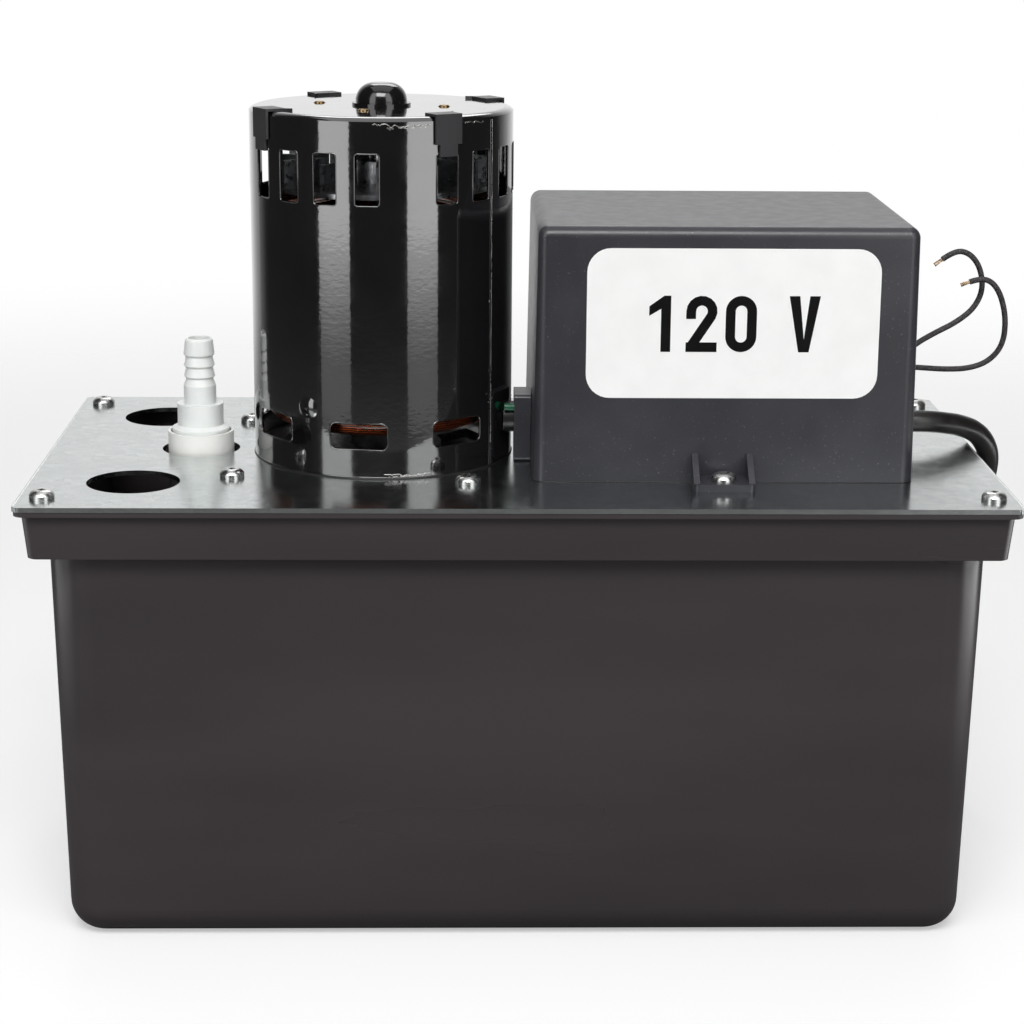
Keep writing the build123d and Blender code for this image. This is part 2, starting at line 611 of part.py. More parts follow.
# ---------------------------------------------------------------- cap clips
with BuildPart() as cap_clips:
    for quadrant in range(4):
        turn = SLOT_START + QUARTER * quadrant
        clip_plane = upright(MOTOR_X, 0, SHELL_TOP, turn)
        outer = MOTOR_RADIUS + SLIP_FIT
        clip_face = outer + CLIP_THICKNESS
        hook_z = SLOT_TOP - SHELL_HEIGHT - CLIP_THICKNESS - MOVING_GAP
        with BuildSketch(clip_plane):
            outline((outer - CLIP_REACH, CAP_THICKNESS), (outer, CAP_THICKNESS), (outer, -CLIP_SHOULDER),
                    (clip_face, -CLIP_SHOULDER), (clip_face, CAP_THICKNESS + CLIP_THICKNESS),
                    (outer - CLIP_REACH, CAP_THICKNESS + CLIP_THICKNESS))
        extrude(amount=CLIP_WIDTH / 2, both=True)
        with BuildSketch(clip_plane):
            outline((outer, -CLIP_SHOULDER), (outer, hook_z + CLIP_THICKNESS),
                    (outer - CLIP_HOOK, hook_z + CLIP_THICKNESS), (outer - CLIP_HOOK, hook_z),
                    (clip_face, hook_z), (clip_face, -CLIP_SHOULDER))
        extrude(amount=CLIP_NARROW / 2, both=True)
        with BuildSketch(Plane(origin=(MOTOR_X, 0, CAP_TOP), x_dir=clip_plane.x_dir, z_dir=(0, 0, 1))):
            outline((outer - CLIP_REACH, CLIP_WIDTH / 2), (outer - CLIP_REACH + CLIP_EAR, CLIP_WIDTH / 2),
                    (outer - CLIP_REACH - CLIP_EAR, CLIP_WIDTH / 2 + CLIP_EAR))
        extrude(amount=CLIP_THICKNESS)
write(cap_clips, "cap_clips")

# ---------------------------------------------------------------- shaft dust cap
with BuildPart() as dome_hollow:
    with BuildSketch(level(CAP_TOP, MOTOR_X)):
        Circle(DOME_RADIUS - DOME_WALL)
    extrude(amount=DOME_HEIGHT - DOME_WALL)
    fillet(dome_hollow.edges().group_by(Axis.Z)[-1], DOME_ROUND - DOME_WALL)

with BuildPart() as shaft_dust_cap:
    with BuildSketch(level(CAP_TOP, MOTOR_X)):
        Circle(DOME_RADIUS)
    extrude(amount=DOME_HEIGHT)
    fillet(shaft_dust_cap.edges().group_by(Axis.Z)[-1], DOME_ROUND)
    with BuildSketch(level(CAP_TOP, MOTOR_X)):
        Circle(DOME_FLANGE_RADIUS)
    extrude(amount=DOME_FLANGE_THICKNESS)
    add(dome_hollow.part, mode=Mode.SUBTRACT)
write(shaft_dust_cap, "shaft_dust_cap")

# ---------------------------------------------------------------- motor base, bearings
with BuildPart() as motor_base:
    with BuildSketch(upright(MOTOR_X, 0, DECK_TOP)):
        outline((SHAFT_RADIUS + 1, 0), (spigot_outer, 0), (spigot_outer, BASE_THICKNESS),
                (BEARING_RADIUS + HUB_WALL, BASE_THICKNESS), (BEARING_RADIUS + HUB_WALL, BASE_HUB_HEIGHT),
                (BEARING_RADIUS + SLIP_FIT, BASE_HUB_HEIGHT),
                (BEARING_RADIUS + SLIP_FIT, BASE_HUB_HEIGHT - BEARING_LENGTH),
                (SHAFT_RADIUS + 1, BASE_HUB_HEIGHT - BEARING_LENGTH))
    revolve(axis=Axis((MOTOR_X, 0, 0), (0, 0, 1)))
    with BuildSketch(level(DECK_TOP, MOTOR_X)):
        Circle(BASE_WINDOW_OUTER)
        Circle(BASE_WINDOW_INNER, mode=Mode.SUBTRACT)
        with PolarLocations(0, 2, start_angle=45, angular_range=180):
            Rectangle(2 * MOTOR_RADIUS, BASE_SPOKE_WIDTH, mode=Mode.SUBTRACT)
    extrude(amount=BASE_THICKNESS, mode=Mode.SUBTRACT)
write(motor_base, "motor_base")

for bearing_name, bearing_z in (("upper_bearing", hub_bottom),
                                ("lower_bearing", BASE_HUB_HEIGHT - BEARING_LENGTH)):
    with BuildPart() as bearing:
        with BuildSketch(level(DECK_TOP + bearing_z, MOTOR_X)):
            Circle(BEARING_RADIUS)
            Circle(SHAFT_RADIUS + RUNNING_FIT, mode=Mode.SUBTRACT)
        extrude(amount=BEARING_LENGTH)
    write(bearing, bearing_name)

# ---------------------------------------------------------------- stator
with BuildPart() as stator_core:
    with BuildSketch(level(DECK_TOP + CORE_BOTTOM, MOTOR_X)):
        Circle(spigot_outer)
        Circle(ROTOR_RADIUS + AIR_GAP, mode=Mode.SUBTRACT)
        with PolarLocations((COIL_INNER + STATOR_SLOT_RADIUS) / 2, STATOR_SLOTS):
            SlotOverall(STATOR_SLOT_RADIUS - COIL_INNER + STATOR_SLOT_WIDTH, STATOR_SLOT_WIDTH,
                        mode=Mode.SUBTRACT)
    extrude(amount=CORE_HEIGHT)
write(stator_core, "stator_core")

with BuildPart() as stator_coils:
    bar_width = STATOR_SLOT_WIDTH - 2 * SLIP_FIT
    with BuildSketch(level(DECK_TOP + CORE_BOTTOM, MOTOR_X)):
        with PolarLocations((COIL_INNER + STATOR_SLOT_RADIUS) / 2, STATOR_SLOTS):
            SlotOverall(STATOR_SLOT_RADIUS - COIL_INNER + bar_width, bar_width)
    extrude(amount=CORE_HEIGHT)
    for base_z, direction in ((DECK_TOP + CORE_BOTTOM, -1), (DECK_TOP + CORE_BOTTOM + CORE_HEIGHT, 1)):
        with BuildSketch(level(base_z, MOTOR_X)):
            Circle(COIL_OUTER)
            Circle(COIL_INNER - STATOR_SLOT_WIDTH / 2, mode=Mode.SUBTRACT)
        extrude(amount=direction * COIL_OVERHANG)
    ring_edges = stator_coils.edges().filter_by(GeomType.CIRCLE)
    fillet([*ring_edges.group_by(Axis.Z)[0], *ring_edges.group_by(Axis.Z)[-1]], COIL_OVERHANG / 3)
write(stator_coils, "stator_coils")

# ---------------------------------------------------------------- rotor
with BuildPart() as rotor_core:
    with BuildSketch(upright(MOTOR_X, 0, DECK_TOP + CORE_BOTTOM)):
        inner = SHAFT_RADIUS + SLIP_FIT
        rim = ROTOR_RADIUS - END_RING_WIDTH
        outline((inner, 0), (rim, 0), (rim, -END_RING_HEIGHT), (ROTOR_RADIUS - 1, -END_RING_HEIGHT),
                (ROTOR_RADIUS - 1, 0),
                (ROTOR_RADIUS, 0), (ROTOR_RADIUS, CORE_HEIGHT), (ROTOR_RADIUS - 1, CORE_HEIGHT),
                (ROTOR_RADIUS - 1, CORE_HEIGHT + END_RING_HEIGHT), (rim, CORE_HEIGHT + END_RING_HEIGHT),
                (rim, CORE_HEIGHT), (inner, CORE_HEIGHT))
    revolve(axis=Axis((MOTOR_X, 0, 0), (0, 0, 1)))
write(rotor_core, "rotor_core")

with BuildPart() as motor_shaft:
    with BuildSketch(level(IMPELLER_BOTTOM, MOTOR_X)):
        Circle(PUMP_SHAFT_RADIUS)
    extrude(amount=TANK_HEIGHT - IMPELLER_BOTTOM)
    with BuildSketch(level(TANK_HEIGHT, MOTOR_X)):
        Circle(SHAFT_RADIUS)
    extrude(amount=SHAFT_TOP - TANK_HEIGHT)
    chamfer(motor_shaft.edges().group_by(Axis.Z)[-1], SHAFT_RADIUS / 8)
write(motor_shaft, "motor_shaft")

with BuildPart() as cooling_fan:
    with BuildSketch(level(DECK_TOP + FAN_HEIGHT, MOTOR_X)):
        Circle(FAN_RADIUS)
        Circle(SHAFT_RADIUS + SLIP_FIT, mode=Mode.SUBTRACT)
    extrude(amount=FAN_DISC)
    with BuildSketch(level(DECK_TOP + FAN_HEIGHT, MOTOR_X)):
        Circle(FAN_HUB_RADIUS)
        Circle(SHAFT_RADIUS + SLIP_FIT, mode=Mode.SUBTRACT)
    extrude(amount=FAN_BLADE_DEPTH)
    with BuildSketch(level(DECK_TOP + FAN_HEIGHT + FAN_DISC, MOTOR_X)):
        with PolarLocations((FAN_BLADE_INNER + FAN_RADIUS) / 2, FAN_BLADES):
            Rectangle(FAN_RADIUS - FAN_BLADE_INNER - 1, FAN_DISC)
    extrude(amount=FAN_BLADE_DEPTH)
write(cooling_fan, "cooling_fan")

with BuildPart() as slinger:
    with BuildSketch(level(TANK_HEIGHT - SLINGER_DROP - SLINGER_THICKNESS, MOTOR_X)):
        Circle(SLINGER_RADIUS)
        Circle(PUMP_SHAFT_RADIUS + SLIP_FIT, mode=Mode.SUBTRACT)
    extrude(amount=SLINGER_THICKNESS)
write(slinger, "slinger")


# ---------------------------------------------------------------- volute
# The spiral is four quarter arcs whose centres step round a small square. The outlet leaves along a
# tangent that ends on the riser's axis.
cavity_start = VOLUTE_START_RADIUS - VOLUTE_WALL
outlet_offset = cavity_start + 3.5 * VOLUTE_STEP - OUTLET_RADIUS
outlet_turn = asin(outlet_offset / DISCHARGE_OFFSET)
outlet_reach = sqrt(DISCHARGE_OFFSET ** 2 - outlet_offset ** 2)
outlet_rise = OUTLET_HEIGHT - VOLUTE_BOTTOM
socket_floor = SOCKET_TOP - SOCKET_DEPTH
volute_floor = Plane(origin=(MOTOR_X, 0, VOLUTE_BOTTOM), x_dir=(cos(outlet_turn), sin(outlet_turn), 0),
                     z_dir=(0, 0, 1))
outlet_start = Plane(origin=volute_floor.from_local_coords((0, outlet_offset, outlet_rise)),
                     x_dir=volute_floor.y_dir, z_dir=-volute_floor.x_dir)
volute_roof = level(COLUMN_BOTTOM, MOTOR_X).rotated((0, 0, degrees(outlet_turn)))


def spiral(grow):
    """The closed volute outline, out from the cavity by a wall."""
    half = VOLUTE_STEP / 2
    centres = [(-half, -half), (half, -half), (half, half), (-half, half)]
    with BuildSketch(volute_floor, mode=Mode.PRIVATE) as section:
        with BuildLine():
            arcs = [CenterArc(centre, cavity_start + grow + quarter * VOLUTE_STEP, 90 * (quarter + 1), 90)
                    for quarter, centre in enumerate(centres)]
            Line(arcs[-1] @ 1, arcs[0] @ 0)
        make_face()
    return section.sketch


def ears(plane):
    """Screw ears that reach out past the spiral, with a radial web to each."""
    with BuildSketch(plane, mode=Mode.PRIVATE) as section:
        for angle in EAR_ANGLES:
            with PolarLocations(EAR_CIRCLE, 1, start_angle=angle):
                Circle(EAR_RADIUS)
            with PolarLocations(EAR_CIRCLE * 0.75, 1, start_angle=angle):
                Rectangle(EAR_CIRCLE / 2, 2 * EAR_RADIUS)
    return section.sketch


def ear_bolts(plane, radius):
    """One round at each screw ear."""
    with BuildSketch(plane, mode=Mode.PRIVATE) as section:
        for angle in EAR_ANGLES:
            with PolarLocations(EAR_CIRCLE, 1, start_angle=angle):
                Circle(radius)
    return section.sketch


with BuildLine() as outlet_path:
    bend_start = volute_floor.from_local_coords((ELBOW_RADIUS - outlet_reach, outlet_offset, outlet_rise))
    bend_end = Vector(RISER_X, 0, OUTLET_HEIGHT + ELBOW_RADIUS)
    first = Line(outlet_start.origin, bend_start)
    TangentArc(bend_start, bend_end, tangent=first % 1)
    Line(bend_end, (RISER_X, 0, socket_floor))

with BuildPart() as volute_housing:
    extrude(spiral(VOLUTE_WALL), amount=VOLUTE_HEIGHT)
    extrude(ears(volute_floor), amount=VOLUTE_HEIGHT)
    with BuildSketch(outlet_start) as neck:
        Circle(OUTLET_RADIUS + OUTLET_WALL)
    sweep(path=outlet_path.wires()[0])
    with BuildSketch(level(socket_floor - SOCKET_WALL, RISER_X)):
        Circle(RISER_RADIUS + SLIP_FIT + SOCKET_WALL)
    extrude(amount=SOCKET_DEPTH + SOCKET_WALL)
    with BuildSketch(level(SOCKET_TOP, RISER_X)):
        Circle(RISER_RADIUS + SLIP_FIT)
    extrude(amount=-SOCKET_DEPTH, mode=Mode.SUBTRACT)
    extrude(spiral(0), amount=VOLUTE_HEIGHT - VOLUTE_ROOF, mode=Mode.SUBTRACT)
    with BuildSketch(outlet_start):
        Circle(OUTLET_RADIUS)
    sweep(path=outlet_path.wires()[0], mode=Mode.SUBTRACT)
    with BuildSketch(level(COLUMN_BOTTOM, MOTOR_X)):
        Circle(PUMP_SHAFT_RADIUS + 8 * SLIP_FIT)
    extrude(amount=-VOLUTE_ROOF, mode=Mode.SUBTRACT)
    extrude(ear_bolts(volute_floor, VOLUTE_SCREW_RADIUS + SLIP_FIT), amount=VOLUTE_HEIGHT, mode=Mode.SUBTRACT)
write(volute_housing, "volute_housing")

with BuildPart() as volute_cover:
    extrude(spiral(VOLUTE_WALL), amount=-VOLUTE_COVER_THICKNESS)
    extrude(ears(volute_floor), amount=-VOLUTE_COVER_THICKNESS)
    with BuildSketch(volute_floor):
        Circle(INLET_EYE_RADIUS + VOLUTE_WALL)
    extrude(amount=(IMPELLER_BOTTOM - VOLUTE_BOTTOM) / 2)
    with BuildSketch(level(VOLUTE_COVER_BOTTOM, MOTOR_X)):
        Circle(INLET_EYE_RADIUS)
    extrude(amount=IMPELLER_BOTTOM - VOLUTE_COVER_BOTTOM, mode=Mode.SUBTRACT)
    extrude(ear_bolts(volute_floor, VOLUTE_SCREW_RADIUS + SLIP_FIT), amount=-VOLUTE_COVER_THICKNESS,
            mode=Mode.SUBTRACT)
write(volute_cover, "volute_cover")

with BuildPart() as inlet_strainer:
    with BuildSketch(level(VOLUTE_COVER_BOTTOM, MOTOR_X)):
        Circle(STRAINER_RADIUS)
    extrude(amount=-STRAINER_HEIGHT)
    with BuildSketch(level(VOLUTE_COVER_BOTTOM, MOTOR_X)):
        Circle(STRAINER_RADIUS - STRAINER_WALL)
    extrude(amount=STRAINER_WALL - STRAINER_HEIGHT, mode=Mode.SUBTRACT)
    with BuildSketch(level(VOLUTE_COVER_BOTTOM, MOTOR_X)):
        with PolarLocations(STRAINER_RADIUS, STRAINER_SLOTS):
            Rectangle(4 * STRAINER_WALL, STRAINER_SLOT_WIDTH)
    extrude(amount=STRAINER_WALL - STRAINER_HEIGHT, mode=Mode.SUBTRACT)
write(inlet_strainer, "inlet_strainer")

with BuildPart() as volute_screws:
    screw_foot = level(VOLUTE_COVER_BOTTOM, MOTOR_X).rotated((0, 0, degrees(outlet_turn)))
    extrude(ear_bolts(screw_foot, VOLUTE_SCREW_RADIUS),
            amount=VOLUTE_COVER_THICKNESS + VOLUTE_HEIGHT + COLUMN_FOOT_THICKNESS - SLIP_FIT)
    extrude(ear_bolts(screw_foot, VOLUTE_SCREW_HEAD), amount=-VOLUTE_SCREW_HEAD_HEIGHT)
    chamfer(volute_screws.edges().group_by(Axis.Z)[0], VOLUTE_SCREW_HEAD_HEIGHT / 4)
write(volute_screws, "volute_screws")

# ---------------------------------------------------------------- impeller
with BuildSketch(Plane.XY) as vane:
    with BuildLine():
        vane_root = Vector(IMPELLER_HUB_RADIUS - 1, 0)
        vane_tip = Vector(IMPELLER_RADIUS, 0).rotate(Axis.Z, VANE_SWEEP)
        vane_middle = Vector((IMPELLER_RADIUS + IMPELLER_HUB_RADIUS) / 2, 0).rotate(Axis.Z, VANE_SWEEP * 0.32)
        vane_line = ThreePointArc(vane_root, vane_middle, vane_tip)
    trace(vane_line, VANE_THICKNESS)

with BuildPart() as impeller:
    shroud_bottom = IMPELLER_BOTTOM + IMPELLER_HEIGHT - IMPELLER_SHROUD
    with BuildSketch(level(shroud_bottom, MOTOR_X)):
        Circle(IMPELLER_RADIUS)
    extrude(amount=IMPELLER_SHROUD)
    with BuildSketch(level(IMPELLER_BOTTOM, MOTOR_X)):
        Circle(IMPELLER_HUB_RADIUS)
    extrude(amount=IMPELLER_HEIGHT)
    with BuildSketch(level(IMPELLER_BOTTOM, MOTOR_X)) as vanes:
        with PolarLocations(0, VANE_COUNT):
            add(vane.sketch)
        with Locations((0, 0)):
            Circle(IMPELLER_RADIUS, mode=Mode.INTERSECT)
    extrude(amount=IMPELLER_HEIGHT - IMPELLER_SHROUD / 2)
    with BuildSketch(level(IMPELLER_BOTTOM, MOTOR_X)):
        Circle(PUMP_SHAFT_RADIUS + SLIP_FIT / 2)
    extrude(amount=IMPELLER_HEIGHT, mode=Mode.SUBTRACT)
write(impeller, "impeller")

# ---------------------------------------------------------------- pump stand
stand_height = TANK_HEIGHT - STAND_THICKNESS - COLUMN_BOTTOM

with BuildPart() as pump_stand:
    with BuildSketch(level(TANK_HEIGHT, MOTOR_X)):
        with Locations(((STAND_RIGHT - STAND_LEFT) / 2, 0)):
            RectangleRounded(STAND_LEFT + STAND_RIGHT, STAND_WIDTH, STAND_THICKNESS * 2)
    extrude(amount=-STAND_THICKNESS)
    with BuildSketch(upright(MOTOR_X, 0, COLUMN_BOTTOM)):
        outline((0, 0), (COLUMN_FOOT_FLANGE, 0), (COLUMN_FOOT_FLANGE, COLUMN_FOOT_THICKNESS),
                (COLUMN_FOOT_RADIUS, COLUMN_FOOT_THICKNESS), (COLUMN_TOP_RADIUS, stand_height),
                (0, stand_height))
    revolve(axis=Axis((MOTOR_X, 0, 0), (0, 0, 1)))
    extrude(ears(volute_roof), amount=COLUMN_FOOT_THICKNESS)
    for turn in (45, 135, 225, 315):
        with BuildSketch(upright(MOTOR_X, 0, COLUMN_BOTTOM, turn)):
            outline((COLUMN_FOOT_RADIUS, stand_height), (COLUMN_TOP_RADIUS + STAND_RIB_LENGTH, stand_height),
                    (COLUMN_FOOT_RADIUS, stand_height - 2 * STAND_RIB_LENGTH))
        extrude(amount=STAND_RIB_THICKNESS / 2, both=True)
    with BuildSketch(upright(MOTOR_X, 0, COLUMN_BOTTOM)):
        outline((0, COLUMN_FOOT_THICKNESS), (COLUMN_FOOT_RADIUS - COLUMN_WALL, COLUMN_FOOT_THICKNESS),
                (COLUMN_TOP_RADIUS - COLUMN_WALL, stand_height), (0, stand_height))
    revolve(axis=Axis((MOTOR_X, 0, 0), (0, 0, 1)), mode=Mode.SUBTRACT)
    for turn in (0, 90):
        with BuildSketch(upright(MOTOR_X, 0, COLUMN_BOTTOM, turn)):
            with Locations((0, stand_height / 2)):
                SlotOverall(COLUMN_WINDOW_HEIGHT, COLUMN_WINDOW_WIDTH, rotation=90)
        extrude(amount=2 * COLUMN_TOP_RADIUS, both=True, mode=Mode.SUBTRACT)
    with BuildSketch(level(TANK_HEIGHT, MOTOR_X)):
        Circle(SHAFT_HOLE_RADIUS)
        with Locations((-DISCHARGE_OFFSET, 0)):
            Circle(STAND_NOTCH_RADIUS)
        with Locations((-PUMP_SCREW_LEFT, PUMP_SCREW_LEFT_Y), (-PUMP_SCREW_LEFT, -PUMP_SCREW_LEFT_Y),
                       (PUMP_SCREW_RIGHT, PUMP_SCREW_RIGHT_Y), (PUMP_SCREW_RIGHT, -PUMP_SCREW_RIGHT_Y)):
            Circle(SCREW_SHANK_RADIUS + SLIP_FIT)
    extrude(amount=-STAND_THICKNESS, mode=Mode.SUBTRACT)
    with BuildSketch(level(COLUMN_BOTTOM, MOTOR_X)):
        Circle(PUMP_SHAFT_RADIUS + 8 * SLIP_FIT)
    extrude(amount=COLUMN_FOOT_THICKNESS, mode=Mode.SUBTRACT)
    extrude(ear_bolts(volute_roof, VOLUTE_SCREW_RADIUS + SLIP_FIT), amount=COLUMN_FOOT_THICKNESS,
            mode=Mode.SUBTRACT)
write(pump_stand, "pump_stand")

# ---------------------------------------------------------------- discharge riser, check valve, barb
riser_axis = Axis((RISER_X, 0, 0), (0, 0, 1))
valve_bottom = DECK_TOP - VALVE_DROP
seat_z = DECK_TOP - VALVE_SEAT_DROP

with BuildPart() as discharge_riser:
    with BuildSketch(level(socket_floor, RISER_X)):
        Circle(RISER_RADIUS)
        Circle(RISER_RADIUS - RISER_WALL, mode=Mode.SUBTRACT)
    extrude(amount=valve_bottom + VALVE_SOCKET_DEPTH - socket_floor)
write(discharge_riser, "discharge_riser")

with BuildPart() as check_valve_body:
    with BuildSketch(upright(RISER_X)):
        socket_top = valve_bottom + VALVE_SOCKET_DEPTH
        recess_floor = DECK_TOP + VALVE_RISE - VALVE_RECESS_DEPTH
        outline((RISER_RADIUS + SLIP_FIT, valve_bottom), (VALVE_RADIUS, valve_bottom),
                (VALVE_RADIUS, DECK_TOP + VALVE_RISE), (VALVE_RECESS_RADIUS, DECK_TOP + VALVE_RISE),
                (VALVE_RECESS_RADIUS, recess_floor), (VALVE_CHAMBER_RADIUS, recess_floor),
                (VALVE_CHAMBER_RADIUS, seat_z), (VALVE_SEAT_RADIUS, seat_z),
                (VALVE_SEAT_RADIUS, socket_top + VALVE_LEDGE), (RISER_RADIUS - RISER_WALL, socket_top),
                (RISER_RADIUS + SLIP_FIT, socket_top))
    revolve(axis=riser_axis)
write(check_valve_body, "check_valve_body")

with BuildPart() as check_poppet:
    with BuildSketch(level(seat_z + 2 * SLIP_FIT, RISER_X)):
        Circle(POPPET_RADIUS)
    extrude(amount=POPPET_DISC)
    with BuildSketch(level(seat_z + 2 * SLIP_FIT, RISER_X)):
        with PolarLocations(0, 2, start_angle=0, angular_range=180):
            Rectangle(2 * (VALVE_CHAMBER_RADIUS - 4 * SLIP_FIT), POPPET_DISC * 0.8)
    extrude(amount=POPPET_HEIGHT)
write(check_poppet, "check_poppet")

with BuildPart() as valve_gasket:
    with BuildSketch(level(DECK_TOP + VALVE_RISE - VALVE_RECESS_DEPTH, RISER_X)):
        Circle(BARB_FLANGE_RADIUS)
        Circle(VALVE_CHAMBER_RADIUS, mode=Mode.SUBTRACT)
    extrude(amount=GASKET_THICKNESS)
write(valve_gasket, "valve_gasket")

with BuildPart() as hose_barb:
    with BuildSketch(upright(RISER_X, 0, DECK_TOP)):
        flange_bottom = VALVE_RISE - VALVE_RECESS_DEPTH + GASKET_THICKNESS
        thread_radius = VALVE_CHAMBER_RADIUS - SLIP_FIT
        profile = [(BARB_BORE, -BARB_THREAD_DROP), (thread_radius, -BARB_THREAD_DROP),
                   (thread_radius, flange_bottom),
                   (BARB_FLANGE_RADIUS, flange_bottom), (BARB_FLANGE_RADIUS, BARB_FLANGE_TOP),
                   (BARB_COLLAR_RADIUS, BARB_COLLAR_BOTTOM), (BARB_COLLAR_RADIUS, BARB_COLLAR_TOP),
                   (BARB_STEM_RADIUS, BARB_COLLAR_TOP), (BARB_STEM_RADIUS, BARB_STEM_TOP)]
        for barb in range(BARB_COUNT):
            crest = BARB_FIRST_CREST + barb * BARB_PITCH
            profile.append((BARB_RADIUS - BARB_GROOVE_DEPTH, crest - BARB_EDGE))
            profile.append((BARB_RADIUS, crest))
        profile += [(BARB_TIP_RADIUS, BARB_TIP - BARB_TIP_BEVEL),
                    (BARB_TIP_RADIUS - BARB_TIP_BEVEL, BARB_TIP), (BARB_BORE, BARB_TIP)]
        outline(*profile)
    revolve(axis=riser_axis)
write(hose_barb, "hose_barb")

# ---------------------------------------------------------------- junction cover
gland_z = DECK_TOP + RELIEF_HEIGHT
grommet_z = DECK_TOP + GROMMET_HEIGHT
duct_outer = COVER_LEFT - DUCT_DEPTH

with BuildPart() as junction_cover:
    with BuildSketch(level(DECK_TOP, COVER_X)):
        RectangleRounded(COVER_LENGTH, COVER_WIDTH, COVER_CORNER)
    extrude(amount=COVER_HEIGHT, taper=COVER_DRAFT)
    fillet(junction_cover.edges().group_by(Axis.Z)[-1], COVER_TOP_FILLET)
    with BuildSketch(level(DECK_TOP, COVER_X)):
        RectangleRounded(COVER_LENGTH - 2 * COVER_WALL, COVER_WIDTH - 2 * COVER_WALL,
                         COVER_CORNER - COVER_WALL)
    extrude(amount=COVER_HEIGHT - COVER_WALL, taper=COVER_DRAFT, mode=Mode.SUBTRACT)
    for side in (-1, 1):
        wall_y = side * (COVER_FACE - COVER_WALL / 2)
        tip_y = side * (COVER_FACE + FOOT_REACH)
        with BuildSketch(level(DECK_TOP, FOOT_X)):
            with Locations((0, (wall_y + tip_y) / 2)):
                RectangleRounded(FOOT_WIDTH, abs(tip_y - wall_y), FOOT_CORNER / 2)
            with Locations((0, side * FOOT_SCREW_Y)):
                Circle(SCREW_SHANK_RADIUS + SLIP_FIT, mode=Mode.SUBTRACT)
        extrude(amount=FOOT_THICKNESS)
        for end in (-1, 1):
            with BuildSketch(Plane.YZ.offset(FOOT_X + end * (FOOT_WIDTH - GUSSET_THICKNESS) / 2)):
                outline((wall_y, DECK_TOP), (tip_y - side * FOOT_CORNER / 2, DECK_TOP),
                        (tip_y - side * FOOT_CORNER / 2, DECK_TOP + FOOT_THICKNESS),
                        (side * COVER_FACE, DECK_TOP + GUSSET_HEIGHT), (wall_y, DECK_TOP + GUSSET_HEIGHT))
            extrude(amount=GUSSET_THICKNESS / 2, both=True)
    with BuildSketch(Plane.YZ.offset(COVER_X)):
        with Locations((RELIEF_Y, gland_z)):
            Circle(RELIEF_NECK_RADIUS + SLIP_FIT)
        with Locations((GROMMET_Y, grommet_z)):
            Circle(GROMMET_RADIUS - GROMMET_GROOVE + SLIP_FIT)
    extrude(amount=COVER_LENGTH, mode=Mode.SUBTRACT)
    with BuildSketch(Plane.YZ.offset(COVER_X)):
        with Locations((DUCT_Y, DECK_TOP + SLEEVE_HEIGHT)):
            Circle(SLEEVE_RADIUS + SLIP_FIT)
    extrude(amount=-COVER_LENGTH, mode=Mode.SUBTRACT)
write(junction_cover, "junction_cover")

with BuildPart() as lead_duct:
    with BuildSketch(Plane.YZ.offset(duct_outer)):
        with Locations((DUCT_Y, DECK_TOP + DUCT_HEIGHT / 2)):
            RectangleRounded(DUCT_WIDTH, DUCT_HEIGHT, DUCT_CORNER)
    extrude(amount=DUCT_DEPTH - SLIP_FIT)
    with BuildSketch(Plane.YZ.offset(duct_outer + DUCT_WALL)):
        with Locations((DUCT_Y, DECK_TOP + DUCT_HEIGHT / 2)):
            Rectangle(DUCT_WIDTH - 2 * DUCT_WALL, DUCT_HEIGHT - 2 * DUCT_WALL)
    extrude(amount=DUCT_DEPTH, mode=Mode.SUBTRACT)
    with BuildSketch(Plane.YZ.offset(duct_outer)):
        with Locations((DUCT_Y, DECK_TOP + SLEEVE_HEIGHT)):
            Circle(SLEEVE_RADIUS + SLIP_FIT)
    extrude(amount=DUCT_DEPTH, mode=Mode.SUBTRACT)
write(lead_duct, "lead_duct")

with BuildPart() as lead_sleeve:
    with BuildSketch(Plane.YZ.offset(sleeve_start)):
        with Locations((DUCT_Y, DECK_TOP + SLEEVE_HEIGHT)):
            Circle(SLEEVE_RADIUS)
            Circle(SLEEVE_RADIUS - SLEEVE_WALL, mode=Mode.SUBTRACT)
    extrude(amount=COVER_LEFT + COVER_WALL + DUCT_WALL - sleeve_start)
write(lead_sleeve, "lead_sleeve")

ground_y = DUCT_Y - (SLEEVE_RADIUS + GROUND_RADIUS) * cos(radians(GROUND_ANGLE))
ground_z = SLEEVE_HEIGHT + (SLEEVE_RADIUS + GROUND_RADIUS) * sin(radians(GROUND_ANGLE))
ground_start = MOTOR_X + sqrt(MOTOR_RADIUS ** 2 - (abs(ground_y) - GROUND_RADIUS) ** 2) + SLIP_FIT

with BuildPart() as ground_wire:
    with BuildSketch(Plane.YZ.offset(ground_start)):
        with Locations((ground_y, DECK_TOP + ground_z)):
            Circle(GROUND_RADIUS)
    extrude(amount=duct_outer - ground_start)
write(ground_wire, "ground_wire")

with BuildPart() as cord_strain_relief:
    wall_inside = COVER_RIGHT - COVER_WALL - 5 * SLIP_FIT
    with BuildSketch(upright(0, RELIEF_Y, gland_z)):
        outline((wall_inside - RELIEF_INSIDE, 0), (wall_inside - RELIEF_INSIDE, RELIEF_TIP_RADIUS),
                (wall_inside, RELIEF_RADIUS), (wall_inside, RELIEF_NECK_RADIUS),
                (COVER_RIGHT, RELIEF_NECK_RADIUS), (COVER_RIGHT, RELIEF_RADIUS),
                (COVER_RIGHT + RELIEF_OUTSIDE / 3, RELIEF_RADIUS),
                (COVER_RIGHT + RELIEF_OUTSIDE, RELIEF_TIP_RADIUS), (COVER_RIGHT + RELIEF_OUTSIDE, 0))
    revolve(axis=Axis((0, RELIEF_Y, gland_z), (1, 0, 0)))
write(cord_strain_relief, "cord_strain_relief")

